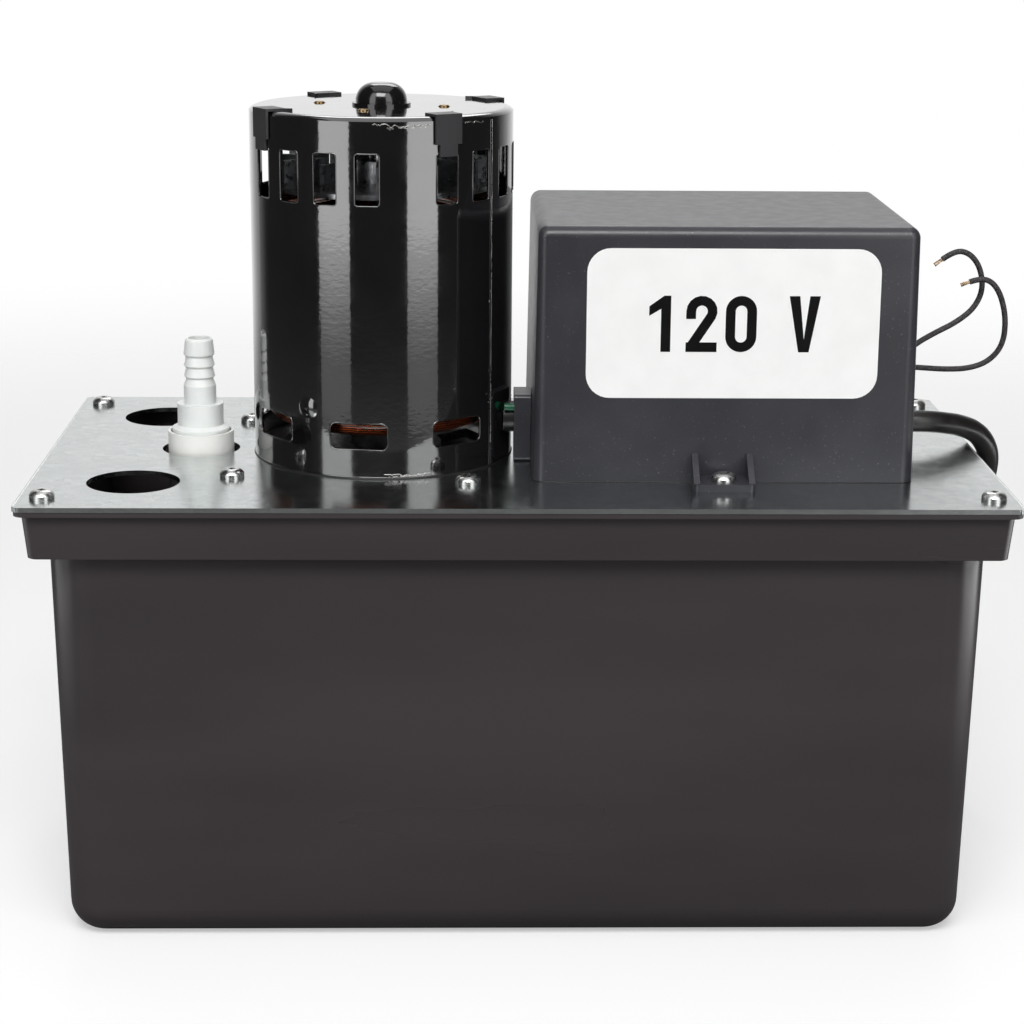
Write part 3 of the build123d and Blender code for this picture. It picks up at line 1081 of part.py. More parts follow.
with BuildPart() as lead_grommet:
    with BuildSketch(upright(0, GROMMET_Y, grommet_z)):
        inside = COVER_RIGHT - COVER_WALL - 8 * SLIP_FIT
        neck = GROMMET_RADIUS - GROMMET_GROOVE
        outline((inside - GROMMET_LIP, 0), (inside - GROMMET_LIP, GROMMET_RADIUS), (inside, GROMMET_RADIUS),
                (inside, neck), (COVER_RIGHT, neck), (COVER_RIGHT, GROMMET_RADIUS),
                (COVER_RIGHT + GROMMET_LIP, GROMMET_RADIUS), (COVER_RIGHT + GROMMET_LIP, 0))
    revolve(axis=Axis((0, GROMMET_Y, grommet_z), (1, 0, 0)))
write(lead_grommet, "lead_grommet")

# ---------------------------------------------------------------- float and rod
float_top = FLOAT_BOTTOM + FLOAT_HEIGHT
arm_reach = FLOAT_X - PIVOT_X
arm_tilt = degrees(atan(FLOAT_TRAVEL / 2 / arm_reach))
pivot_z = DECK_TOP + PIVOT_HEIGHT
arm_rest_z = pivot_z - FLOAT_TRAVEL / 2
guide_top = DECK_TOP + GUIDE_FLANGE_THICKNESS

with BuildPart() as float:
    with BuildSketch(level(FLOAT_BOTTOM, FLOAT_X)):
        RectangleRounded(FLOAT_LENGTH, FLOAT_WIDTH, FLOAT_CORNER)
    extrude(amount=FLOAT_HEIGHT)
    fillet([*float.edges().group_by(Axis.Z)[0], *float.edges().group_by(Axis.Z)[-1]], FLOAT_EDGE)
    with BuildSketch(level(float_top, FLOAT_X)):
        with Locations((0, FLOAT_WIDTH / 4), (0, -FLOAT_WIDTH / 4)):
            SlotOverall(FLOAT_LENGTH - 4 * FLOAT_EDGE, FLOAT_RIB_WIDTH)
    extrude(amount=-FLOAT_RIB_DEPTH, mode=Mode.SUBTRACT)
    with Locations((FLOAT_X, 0, float_top)):
        Hole(ROD_RADIUS + SLIP_FIT)
write(float, "float")

with BuildPart() as float_rod:
    with BuildSketch(level(FLOAT_BOTTOM - ROD_BELOW_FLOAT, FLOAT_X)):
        Circle(ROD_RADIUS)
    extrude(amount=ROD_TOP_Z - FLOAT_BOTTOM + ROD_BELOW_FLOAT)
    chamfer([*float_rod.edges().group_by(Axis.Z)[0], *float_rod.edges().group_by(Axis.Z)[-1]], ROD_RADIUS / 4)
write(float_rod, "float_rod")

with BuildPart() as rod_collars:
    for collar_z in (FLOAT_BOTTOM - SLIP_FIT - COLLAR_HEIGHT, float_top + SLIP_FIT, guide_top + MOVING_GAP,
                     arm_rest_z - COLLAR_SPACING / 2 - COLLAR_HEIGHT, arm_rest_z + COLLAR_SPACING / 2):
        with BuildSketch(level(collar_z, FLOAT_X)):
            Circle(COLLAR_RADIUS)
            Circle(ROD_RADIUS + SLIP_FIT / 2, mode=Mode.SUBTRACT)
        extrude(amount=COLLAR_HEIGHT)
write(rod_collars, "rod_collars")

with BuildPart() as float_guide:
    with BuildSketch(upright(FLOAT_X, 0, DECK_TOP)):
        guide_bore = ROD_RADIUS + RUNNING_FIT
        outline((guide_bore, GUIDE_FLANGE_THICKNESS - GUIDE_LENGTH),
                (GUIDE_RADIUS, GUIDE_FLANGE_THICKNESS - GUIDE_LENGTH), (GUIDE_RADIUS, 0),
                (GUIDE_FLANGE_RADIUS, 0), (GUIDE_FLANGE_RADIUS, GUIDE_FLANGE_THICKNESS),
                (guide_bore, GUIDE_FLANGE_THICKNESS))
    revolve(axis=Axis((FLOAT_X, 0, 0), (0, 0, 1)))
write(float_guide, "float_guide")

# ---------------------------------------------------------------- switch bracket
switch_screw_x = (SWITCH_LEFT * 3 + SWITCH_RIGHT) / 4
safety_middle = (SAFETY_BOTTOM + SAFETY_TOP) / 2
switch_screw_spots = [(switch_screw_x, SWITCH_TOP - SWITCH_SCREW_INSET),
                      (switch_screw_x, SWITCH_BOTTOM + SWITCH_SCREW_INSET),
                      (SAFETY_LEFT + SAFETY_SCREW_INSET, safety_middle),
                      (SAFETY_RIGHT - SWITCH_SCREW_INSET, safety_middle)]
switch_face = Plane(origin=(0, BRACKET_BACK, DECK_TOP), x_dir=(1, 0, 0), z_dir=(0, -1, 0))

with BuildPart() as switch_bracket:
    with BuildSketch(switch_face):
        with Locations(((BRACKET_LEFT + BRACKET_RIGHT) / 2, BRACKET_HEIGHT / 2)):
            Rectangle(BRACKET_RIGHT - BRACKET_LEFT, BRACKET_HEIGHT)
    extrude(amount=BRACKET_THICKNESS)
    with BuildSketch(level(DECK_TOP)):
        foot_depth = BRACKET_FOOT + BRACKET_THICKNESS
        with Locations(((BRACKET_LEFT + BRACKET_RIGHT) / 2, BRACKET_Y + foot_depth / 2)):
            Rectangle(BRACKET_RIGHT - BRACKET_LEFT, foot_depth)
    extrude(amount=BRACKET_THICKNESS)
    bend_edges = switch_bracket.edges().filter_by(Axis.X)
    fillet(bend_edges.sort_by_distance((COVER_X, BRACKET_Y, DECK_TOP))[0], BRACKET_BEND)
    inside_bend = (COVER_X, BRACKET_BACK, DECK_TOP + BRACKET_THICKNESS)
    fillet(switch_bracket.edges().filter_by(Axis.X).sort_by_distance(inside_bend)[0],
           BRACKET_BEND - BRACKET_THICKNESS)
    fillet(switch_bracket.edges().filter_by(Axis.Y).group_by(Axis.Z)[-1], BRACKET_CORNER)
    with BuildSketch(switch_face):
        with Locations(*switch_screw_spots):
            Circle(SMALL_SCREW_RADIUS + SLIP_FIT)
        with Locations((PIVOT_X, PIVOT_HEIGHT)):
            Circle(PIVOT_RADIUS + SLIP_FIT)
    extrude(amount=BRACKET_THICKNESS, mode=Mode.SUBTRACT)
    with BuildSketch(level(DECK_TOP)):
        with Locations(*foot_screw_spots):
            Circle(SMALL_SCREW_RADIUS + SLIP_FIT)
    extrude(amount=BRACKET_THICKNESS, mode=Mode.SUBTRACT)
write(switch_bracket, "switch_bracket")

with BuildPart() as switch_screws:
    screw_reach = BRACKET_THICKNESS + PIVOT_RADIUS * 4
    foot_face = Plane(origin=(0, 0, DECK_TOP + BRACKET_THICKNESS), x_dir=(1, 0, 0), z_dir=(0, 0, -1))
    for plane, spots in ((switch_face, switch_screw_spots),
                         (foot_face, [(x, -y) for x, y in foot_screw_spots])):
        with BuildSketch(plane):
            with Locations(*spots):
                Circle(SMALL_SCREW_RADIUS)
        extrude(amount=screw_reach)
        with BuildSketch(plane):
            with Locations(*spots):
                Circle(SMALL_SCREW_HEAD)
        extrude(amount=-SMALL_SCREW_HEAD_HEIGHT)
write(switch_screws, "switch_screws")

# ---------------------------------------------------------------- pump switch and its arm
switch_front = Plane(origin=(0, SWITCH_FRONT, DECK_TOP), x_dir=(1, 0, 0), z_dir=(0, -1, 0))
arm_plane = Plane(origin=(PIVOT_X, 0, pivot_z), x_dir=(cos(radians(arm_tilt)), 0, -sin(radians(arm_tilt))),
                  z_dir=(0, -1, 0))
arm_length = arm_reach / cos(radians(arm_tilt)) + FORK_OVERHANG

with BuildPart() as pump_switch:
    with BuildSketch(switch_front):
        with Locations(((SWITCH_LEFT + SWITCH_RIGHT) / 2, (SWITCH_BOTTOM + SWITCH_TOP) / 2)):
            RectangleRounded(SWITCH_RIGHT - SWITCH_LEFT, SWITCH_TOP - SWITCH_BOTTOM, SWITCH_CORNER)
    extrude(amount=SWITCH_FRONT - BRACKET_Y)
    with BuildSketch(Plane(origin=(0, 0, DECK_TOP), x_dir=(1, 0, 0), z_dir=(0, -1, 0))):
        with Locations((PIVOT_X, PIVOT_HEIGHT)):
            Rectangle(2 * (ARM_TAIL + ARM_EYE_RADIUS), (SWITCH_TOP - SWITCH_BOTTOM) * 0.75)
    extrude(amount=SWITCH_SLOT / 2, both=True, mode=Mode.SUBTRACT)
    with BuildSketch(switch_front):
        with Locations((PIVOT_X, PIVOT_HEIGHT)):
            Circle(PIVOT_RADIUS + SLIP_FIT)
    extrude(amount=SWITCH_FRONT - BRACKET_Y, mode=Mode.SUBTRACT)
    with BuildSketch(Plane(origin=(0, BRACKET_Y, DECK_TOP), x_dir=(1, 0, 0), z_dir=(0, -1, 0))):
        with Locations(*switch_screw_spots[:2]):
            Circle(SMALL_SCREW_RADIUS + SLIP_FIT)
    extrude(amount=PIVOT_RADIUS * 4 + SLIP_FIT, mode=Mode.SUBTRACT)
    with BuildSketch(Plane.YZ.offset(SWITCH_LEFT)):
        for z in (SWITCH_BOTTOM + 6, SWITCH_TOP - 6):
            with Locations((0, DECK_TOP + z)):
                Rectangle(TERMINAL_WIDTH, TERMINAL_THICKNESS)
    extrude(amount=-TERMINAL_LENGTH)
write(pump_switch, "pump_switch")

with BuildPart() as switch_pivot_pin:
    with BuildSketch(Plane(origin=(PIVOT_X, SWITCH_FRONT, pivot_z), x_dir=(1, 0, 0), z_dir=(0, 1, 0))):
        Circle(PIVOT_RADIUS)
    extrude(amount=BRACKET_BACK - SWITCH_FRONT)
write(switch_pivot_pin, "switch_pivot_pin")

with BuildPart() as switch_arm:
    with BuildSketch(arm_plane):
        Circle(ARM_EYE_RADIUS)
    extrude(amount=ARM_WIDTH / 2, both=True)
    with BuildSketch(arm_plane):
        with Locations(((arm_length - ARM_TAIL) / 2, 0)):
            Rectangle(arm_length + ARM_TAIL, ARM_THICKNESS)
    extrude(amount=ARM_WIDTH / 2, both=True)
    with BuildSketch(arm_plane):
        with Locations((arm_length - 1.5 * FORK_WIDTH / 2, 0)):
            Rectangle(1.5 * FORK_WIDTH, ARM_THICKNESS)
    extrude(amount=FORK_WIDTH / 2, both=True)
    across_arm = Axis(origin=(0, 0, 0), direction=arm_plane.y_dir)
    fillet(switch_arm.edges().filter_by(across_arm).group_by(Axis.X)[-1], FORK_WIDTH / 5)
    with BuildSketch(Plane(origin=arm_plane.origin, x_dir=arm_plane.x_dir, z_dir=arm_plane.y_dir)):
        with Locations((arm_length, 0)):
            Rectangle(2 * (arm_length - arm_reach + ROD_RADIUS + FORK_PLAY), 2 * (ROD_RADIUS + FORK_PLAY))
    extrude(amount=ARM_THICKNESS, both=True, mode=Mode.SUBTRACT)
    with BuildSketch(arm_plane):
        Circle(PIVOT_RADIUS + RUNNING_FIT)
    extrude(amount=ARM_WIDTH, both=True, mode=Mode.SUBTRACT)
write(switch_arm, "switch_arm")

# ---------------------------------------------------------------- safety switch
safety_arm_z = SAFETY_BASE_Z - SAFETY_PIVOT_DROP
safety_pivot_radius = PIVOT_RADIUS * 2 / 3
lug_front = SAFETY_ARM_WIDTH / 2 + MOVING_GAP

with BuildPart() as safety_switch:
    with BuildSketch(Plane(origin=(0, BRACKET_Y, DECK_TOP), x_dir=(1, 0, 0), z_dir=(0, -1, 0))):
        with Locations(((SAFETY_LEFT + SAFETY_RIGHT) / 2, (SAFETY_BOTTOM + SAFETY_TOP) / 2)):
            RectangleRounded(SAFETY_RIGHT - SAFETY_LEFT, SAFETY_TOP - SAFETY_BOTTOM, SWITCH_CORNER)
    extrude(amount=BRACKET_Y - SAFETY_FRONT)
    with BuildSketch(level(SAFETY_BASE_Z)):
        with Locations((SAFETY_PIVOT_X, (lug_front + BRACKET_Y) / 2)):
            Rectangle(4 * SAFETY_PIVOT_DROP / 2 + 1, BRACKET_Y - lug_front)
    extrude(amount=-2 * SAFETY_PIVOT_DROP)
    with BuildSketch(level(SAFETY_BASE_Z)):
        with Locations((SAFETY_PIVOT_X + 5 * SAFETY_BUTTON_RADIUS,
                        SAFETY_FRONT + 1.5 * SAFETY_BUTTON_RADIUS)):
            Circle(SAFETY_BUTTON_RADIUS)
    extrude(amount=-SAFETY_ARM_THICKNESS)
    with BuildSketch(Plane(origin=(0, BRACKET_Y, 0), x_dir=(1, 0, 0), z_dir=(0, -1, 0))):
        with Locations((SAFETY_PIVOT_X, safety_arm_z)):
            Circle(safety_pivot_radius + SLIP_FIT)
    extrude(amount=BRACKET_Y - lug_front, mode=Mode.SUBTRACT)
    with BuildSketch(Plane(origin=(0, BRACKET_Y, DECK_TOP), x_dir=(1, 0, 0), z_dir=(0, -1, 0))):
        with Locations(*switch_screw_spots[2:]):
            Circle(SMALL_SCREW_RADIUS + SLIP_FIT)
    extrude(amount=PIVOT_RADIUS * 4 + SLIP_FIT, mode=Mode.SUBTRACT)
write(safety_switch, "safety_switch")

with BuildPart() as safety_pivot_pin:
    with BuildSketch(Plane(origin=(SAFETY_PIVOT_X, -SAFETY_ARM_WIDTH / 2 - MOVING_GAP, safety_arm_z),
                           x_dir=(1, 0, 0), z_dir=(0, 1, 0))):
        Circle(safety_pivot_radius)
    extrude(amount=SAFETY_ARM_WIDTH + 2 * MOVING_GAP + (BRACKET_Y - lug_front) * 0.9)
write(safety_pivot_pin, "safety_pivot_pin")

with BuildPart() as safety_arm:
    arm_section = Plane(origin=(SAFETY_PIVOT_X, 0, safety_arm_z), x_dir=(1, 0, 0), z_dir=(0, -1, 0))
    with BuildSketch(arm_section):
        Circle(2 * safety_pivot_radius)
        with Locations(((FLOAT_X + SAFETY_ARM_OVERHANG - SAFETY_PIVOT_X) / 2, 0)):
            Rectangle(FLOAT_X + SAFETY_ARM_OVERHANG - SAFETY_PIVOT_X, SAFETY_ARM_THICKNESS)
    extrude(amount=SAFETY_ARM_WIDTH / 2, both=True)
    with BuildSketch(arm_section):
        Circle(safety_pivot_radius + RUNNING_FIT)
    extrude(amount=SAFETY_ARM_WIDTH, both=True, mode=Mode.SUBTRACT)
write(safety_arm, "safety_arm")


# ---------------------------------------------------------------- cords
def route_radii(points):
    """The largest tangent arcs that fit the route's runs, one for each corner."""
    radii = []
    for before, corner, after in zip(points, points[1:], points[2:]):
        come = Vector(*corner) - Vector(*before)
        leave = Vector(*after) - Vector(*corner)
        turn = radians(come.get_angle(leave))
        radii.append(0.45 * min(come.length, leave.length) / (sin(turn / 2) / cos(turn / 2)))
    return radii


def cord_tube(name, points, radius):
    """A round cord along straight runs joined by tangent arcs."""
    radii = route_radii(points)
    with BuildPart() as tube:
        with BuildLine() as route:
            FilletPolyline(*points, radius=radii)
        path = route.wires()[0]
        with BuildSketch(Plane(origin=path @ 0, z_dir=path % 0)):
            Circle(radius)
        sweep(path=path)
    write(tube, name)
    print(f"{name}: length {path.length:.1f}, radii {min(radii):.1f} to {max(radii):.1f},"
          f" volume over section times length {tube.part.volume / (pi * radius ** 2 * path.length):.4f}")
    return path.length


floor_z = CORD_RADIUS + SLIP_FIT / 2
relief_tip = COVER_RIGHT + RELIEF_OUTSIDE
coil_outer_turn = COIL_MEAN_RADIUS + (COIL_TURNS_WIDE - 1) * CORD_RADIUS
coil_outside = COIL_MEAN_RADIUS + COIL_TURNS_WIDE * CORD_RADIUS
coil_inside = COIL_MEAN_RADIUS - COIL_TURNS_WIDE * CORD_RADIUS
coil_top = floor_z + 2 * (COIL_LAYERS - 1) * CORD_RADIUS    # centre of the top layer's cord

power_cord_route = [
    (relief_tip, RELIEF_Y, gland_z),
    (135.6, RELIEF_Y, gland_z),
    (142.3, 5.4, gland_z - 0.9),
    (149.6, 8.8, gland_z - 2.6),
    (156.6, 12.4, gland_z - 6.0),
    (161.6, 17.0, gland_z - 13.4),
    (162.6, 23.4, gland_z - 24.0),
    (161.0, 31.2, gland_z - 38.0),
    (158.8, 38.6, gland_z - 57.0),
    (157.6, 45.6, gland_z - 83.0),
    (156.8, 53.0, gland_z - 110.0),
    (155.8, 61.4, gland_z - 133.0),
    (154.0, 74.2, floor_z + 3.2),
    (151.4, 89.6, floor_z),
    (COIL_X + coil_outer_turn, COIL_Y - COIL_TAIL, floor_z),
]
cord_length = cord_tube("power_cord", power_cord_route, CORD_RADIUS)

tail_radius = CORD_RADIUS - SLIP_FIT / 2
with BuildPart() as power_cord_coil:
    with BuildSketch(upright(COIL_X, COIL_Y, 0)):
        with Locations((COIL_MEAN_RADIUS, (floor_z + coil_top) / 2)):
            RectangleRounded(coil_outside - coil_inside, 2 * COIL_LAYERS * CORD_RADIUS, CORD_RADIUS * 0.98)
    revolve(axis=Axis((COIL_X, COIL_Y, 0), (0, 0, 1)))
    tail_end = Vector(COIL_X + coil_outer_turn, COIL_Y - COIL_TAIL, floor_z)
    tail_heading = Vector(*power_cord_route[-1]) - Vector(*power_cord_route[-2])
    with BuildSketch(Plane(origin=tail_end, z_dir=tail_heading)):
        Circle(tail_radius)
    extrude(amount=COIL_TAIL)
    plug_end = Vector(COIL_X - COIL_TAIL, COIL_Y + coil_outer_turn, coil_top)
    with BuildSketch(Plane(origin=plug_end, z_dir=(1, 0, 0))):
        Circle(tail_radius)
    extrude(amount=COIL_TAIL)
write(power_cord_coil, "power_cord_coil")
coil_length = COIL_TURNS * 2 * pi * COIL_MEAN_RADIUS
print(f"whole cord: {cord_length + coil_length + 2 * COIL_TAIL:.0f}")

with BuildPart() as plug_body:
    plug_plane = Plane(origin=plug_end, x_dir=(0, -1, 0), z_dir=(-1, 0, 0))
    body_centre = PLUG_DEPTH / 2 - coil_top
    with BuildSketch(Plane(origin=plug_end, x_dir=(-1, 0, 0), z_dir=(0, -1, 0))):
        outline((0, 0), (0, CORD_RADIUS * 1.25), (PLUG_TAIL_LENGTH, PLUG_TAIL_RADIUS * 1.6),
                (PLUG_TAIL_LENGTH + 2, 0))
    revolve(axis=Axis(tuple(plug_end), (-1, 0, 0)))
    with BuildSketch(plug_plane.offset(PLUG_TAIL_LENGTH)):
        with Locations((0, body_centre)):
            RectangleRounded(PLUG_WIDTH, PLUG_DEPTH, PLUG_DEPTH / 3)
    extrude(amount=PLUG_BODY_LENGTH)
    fillet(plug_body.faces().sort_by(Axis.X)[0].edges(), PLUG_DEPTH / 16)
write(plug_body, "plug_body")

with BuildPart() as plug_blades:
    with BuildSketch(plug_plane.offset(PLUG_TAIL_LENGTH + PLUG_BODY_LENGTH)):
        with Locations((BLADE_SPACING / 2, -BLADE_DROP), (-BLADE_SPACING / 2, -BLADE_DROP)):
            Rectangle(BLADE_WIDTH, BLADE_THICKNESS)
    extrude(amount=BLADE_LENGTH)
    with BuildSketch(plug_plane.offset(PLUG_TAIL_LENGTH + PLUG_BODY_LENGTH)):
        with Locations((0, EARTH_PIN_OFFSET - BLADE_DROP)):
            Circle(EARTH_PIN_RADIUS)
    extrude(amount=EARTH_PIN_LENGTH)
write(plug_blades, "plug_blades")

# The two leads stand up stiffly from the grommet, each to a bare tip.
grommet_face = COVER_RIGHT + GROMMET_LIP
upper_route = [
    (grommet_face, GROMMET_Y, grommet_z + 1.7),
    (130.2, GROMMET_Y, grommet_z + 1.7),
    (136.0, 20.3, DECK_TOP + 32.2),
    (142.0, 20.6, DECK_TOP + 35.6),
    (148.6, 21.0, DECK_TOP + 38.9),
    (154.6, 21.4, DECK_TOP + 43.6),
    (157.4, 21.8, DECK_TOP + 50.0),
    (156.1, 22.0, DECK_TOP + 57.4),
    (152.4, 22.2, DECK_TOP + 62.2),
    (147.4, 22.4, DECK_TOP + 63.2),
    (143.2, 22.6, DECK_TOP + 60.0),
]
lower_route = [
    (grommet_face, GROMMET_Y, grommet_z - 1.7),
    (131.0, GROMMET_Y, grommet_z - 1.7),
    (138.0, 19.7, DECK_TOP + 23.6),
    (146.0, 19.2, DECK_TOP + 23.2),
    (153.6, 18.6, DECK_TOP + 23.7),
    (160.0, 18.0, DECK_TOP + 26.3),
    (164.2, 17.4, DECK_TOP + 32.0),
    (164.6, 16.9, DECK_TOP + 40.4),
    (162.6, 16.4, DECK_TOP + 48.4),
    (159.4, 16.1, DECK_TOP + 53.4),
    (155.2, 15.9, DECK_TOP + 54.9),
    (151.4, 15.7, DECK_TOP + 53.6),
]
cord_tube("safety_lead_upper", upper_route, LEAD_RADIUS)
cord_tube("safety_lead_lower", lower_route, LEAD_RADIUS)
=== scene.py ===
"""The condensate pump's looks: camera, light, floor, cords, label, wiring, small trim and surface finishes.

Lengths are written in millimetres, in the CAD's frame, and turned into metres by MM. Colours are sRGB,
0 to 255. Angles round the motor are in degrees from +X, seen from above.
"""
import json
import math
import random

import bmesh
import bpy
from mathutils import Matrix, Vector


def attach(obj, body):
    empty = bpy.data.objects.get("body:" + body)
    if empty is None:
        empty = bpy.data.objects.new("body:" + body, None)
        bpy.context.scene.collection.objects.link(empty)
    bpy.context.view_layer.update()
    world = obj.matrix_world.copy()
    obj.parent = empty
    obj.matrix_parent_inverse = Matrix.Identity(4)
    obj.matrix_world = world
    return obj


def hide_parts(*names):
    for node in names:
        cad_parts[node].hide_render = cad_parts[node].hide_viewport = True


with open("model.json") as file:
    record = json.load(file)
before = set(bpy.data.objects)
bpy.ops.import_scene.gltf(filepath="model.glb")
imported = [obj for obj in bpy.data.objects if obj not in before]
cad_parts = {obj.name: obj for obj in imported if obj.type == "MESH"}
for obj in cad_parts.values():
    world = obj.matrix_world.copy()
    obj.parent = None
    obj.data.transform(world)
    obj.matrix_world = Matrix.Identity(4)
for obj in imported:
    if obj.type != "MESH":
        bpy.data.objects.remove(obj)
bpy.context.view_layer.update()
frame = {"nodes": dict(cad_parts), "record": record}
node = frame["nodes"]
scene = bpy.context.scene
scene.view_settings.view_transform = "Standard"

MM = 0.001

# ---------------------------------------------------------------- places shared with the CAD
DECK = 144.5                # the deck plate's top, above the floor
PLATE_SIZE = (305.0, 155.0)
PLATE_CORNER = 2.5
MOTOR_X = -43.5
MOTOR_RADIUS = 42.1
COVER_LEFT = 4.5
COVER_RIGHT = 124.0
COVER_FACE = 45.2           # its front's distance from the middle, at the deck
COVER_DRAFT = 0.79          # degrees
COVER_CORNER = 4.0
SLOT_ANGLES = [             # the cooling windows near the shell's top
    -59.7 + 90 * quarter + step for quarter in range(4) for step in (0.0, 18.4, 36.8, 55.2)
]
SLOT_SIZE = (7.7, 15.9)
SLOT_RISE = 93.45           # its middle above the deck
SLOT_CORNER = 1.0
VENT_ANGLES = [-54.0 + 45 * turn for turn in range(8)]     # the openings near its foot
VENT_SIZE = (18.4, 8.6)
VENT_RISE = 13.5
VENT_CORNER = 2.0
SEAM_ANGLE = -34.4
SEAM_WIDTH = 0.5

# ---------------------------------------------------------------- camera
CAMERA_PLACE = (-19.5925, -764.9787, 329.0769)
CAMERA_YAW = 0.0245         # the three turns are in radians
CAMERA_PITCH = 0.2635
CAMERA_ROLL = 0.0084
CAMERA_LENS = 83.56

# ---------------------------------------------------------------- light
SOFTBOX_DISTANCE = 720.0
SOFTBOX_WIDTH = 340.0
SOFTBOX_ANGLES = (-39.0, 36.0)      # degrees round the motor from its front
SOFTBOX_GLOW = 6.95e-6              # power of each square millimetre
SOFTBOX_BANDS = [                   # bottom, top and share of the full glow
    (0.0, 50.0, 0.17), (50.0, 70.0, 0.28), (70.0, 90.0, 0.45), (90.0, 115.0, 0.68), (115.0, 1180.0, 1.0),
]
OVERHEAD_SIZE = (1100.0, 900.0)
OVERHEAD_PLACE = (0.0, 60.0, 1300.0)
OVERHEAD_POWER = 2.5
FILL_PLACE = (-60.0, -900.0, 1150.0)
FILL_SIZE = (800.0, 500.0)
FILL_POWER = 12.0
BACK_PLACE = (60.0, 950.0, 1150.0)
BACK_POWER = 4.0
LOW_SIZE = (300.0, 60.0)
LOW_Y = -70.0
LOW_LAMPS = ((-430.0, 0.09), (430.0, 0.22))     # place along X and power
WORLD_BACK = 0.95
WORLD_FRONT = 0.035
WORLD_FADE = (0.45, 1.05)           # a direction's Y where the studio starts and ends turning pale
FLOOR_RADIUS = 1500.0
FLOOR_SOLID = 420.0         # radius inside which the floor is whole
FLOOR_GONE = 1250.0         # radius by which it has faded out
FLOOR_SEGMENTS = 96
FLOOR_PALE = (205, 205, 205)        # to the camera
FLOOR_GLOW = 0.42                   # added to it there, so it runs into the white round it
FLOOR_DIM = (112, 112, 112)         # in reflections and as bounced light

# ---------------------------------------------------------------- supply cord
CORD_DIAMETER = 7.3
GLAND_Z = DECK + 8.9
FLOOR_Z = 3.7               # the cord's centre when it lies on the floor
CORD_ROUTE = [
    (130.5, 3.2, GLAND_Z), (135.6, 3.2, GLAND_Z), (142.3, 5.4, GLAND_Z - 0.9), (149.6, 8.8, GLAND_Z - 2.6),
    (156.6, 12.4, GLAND_Z - 6.0), (161.6, 17.0, GLAND_Z - 13.4), (162.6, 23.4, GLAND_Z - 24.0),
    (161.0, 31.2, GLAND_Z - 38.0), (158.8, 38.6, GLAND_Z - 57.0), (157.6, 45.6, GLAND_Z - 83.0),
    (156.8, 53.0, GLAND_Z - 110.0), (155.8, 61.4, GLAND_Z - 133.0), (154.0, 74.2, FLOOR_Z + 3.2),
    (151.4, 89.6, FLOOR_Z), (150.3, 106.0, FLOOR_Z),
]
COIL_CENTRE = (99.5, 136.0)
COIL_RADII = (50.8, 43.5, 36.2)     # of the three turns on the floor, and of the three above them
COIL_TURNS = 5.25
COIL_TAIL = 30.0            # the straight end at the plug
TURN_STEPS = 16             # control points in a turn
TURN_STEADY = 0.7           # share of each turn before it moves over to the next

# ---------------------------------------------------------------- safety switch leads
LEAD_DIAMETER = 1.9
LEAD_Z = DECK + 25.7
UPPER_LEAD = [
    (125.4, 20, LEAD_Z + 1.7), (130.2, 20, LEAD_Z + 1.7), (136, 20.3, DECK + 32.2), (142, 20.6, DECK + 35.6),
    (148.6, 21, DECK + 38.9), (154.6, 21.4, DECK + 43.6), (157.4, 21.8, DECK + 50), (156.1, 22, DECK + 57.4),
    (152.4, 22.2, DECK + 62.2), (147.4, 22.4, DECK + 63.2), (143.2, 22.6, DECK + 60),
]
LOWER_LEAD = [
    (125.4, 20, LEAD_Z - 1.7), (131, 20, LEAD_Z - 1.7), (138, 19.7, DECK + 23.6), (146, 19.2, DECK + 23.2),
    (153.6, 18.6, DECK + 23.7), (160, 18, DECK + 26.3), (164.2, 17.4, DECK + 32), (164.6, 16.9, DECK + 40.4),
    (162.6, 16.4, DECK + 48.4), (159.4, 16.1, DECK + 53.4), (155.2, 15.9, DECK + 54.9),
    (151.4, 15.7, DECK + 53.6),
]
STRANDS = 7
STRAND_RADIUS = 0.16
STRAND_CIRCLE = 0.42        # radius of the ring of strands
TIP_LENGTH = 3.4
TIP_INSET = 0.3             # how far the strands start inside the lead
TIP_STEPS = 8
TIP_TWIST = 0.4             # turns
TIP_SPLAY = 0.35            # how much wider the ring ends

# ---------------------------------------------------------------- paint trim
BEAD_RADIUS = 0.26
BEAD_SINK = 0.12
BEAD_SWELL = (0.75, 1.2)    # least and most share of its radius
THIN_BEAD_RADIUS = 0.13
RING_STEPS = 96
FOOT_RISE = 0.25            # of the foot bead's lowest side above the deck
# The thin black ring round the shell's foot is a painted contact shadow; this is its lift off the shell.
SHADOW_LINE_LIFT = 0.05
SEAM_ENDS = (0.4, 110.4)
SEAM_STEPS = 60
SEAM_WANDER = (0.05, 0.25)
SEAM_WEAR_AND_HIGHLIGHT_START = 4         # the step where the bare-metal line begins: worn metal and a painted highlight of the seam
SEAM_WEAR_AND_HIGHLIGHT_SHIFT = (0.1, -0.28, 0.0)
FLAKE_CORNERS = 7
FLAKE_LIFT = 0.05
FLAKE_SINK = 0.02
FLAKE_WIDTH = (0.3, 1.3)    # half the width and half the height of a flake
FLAKE_HEIGHT = (0.12, 0.45)
FLAKE_LEAN = 0.5
FLAKE_REACH = (0.5, 1.0)    # of its corners, as a share of its half sizes
CHIP_BANDS = [              # start and end angle, rise, drop below it, how many
    (-86, -69, 109.5, 0.5, 9), (-88, -66, 1.1, 0.5, 9), (-37, -33, 60, 55, 8),
]
RAGGED_EDGES = [            # start and end angle, rise and depth of the ragged paint line
    (-92, -86, 110.5, 1.1), (-86, -68, 110.2, 0.9), (-52, -40, 110.4, 1.0), (-88, -68, 1.6, 0.7),
]
RAGGED_STEPS = 3            # in a degree
RAGGED_JUMP = 0.5           # most change in a step, as a share of the depth
EDGE_INSET = 0.48           # of the plate's painted edge highlight from its sides and top
EDGE_RADIUS = 0.5

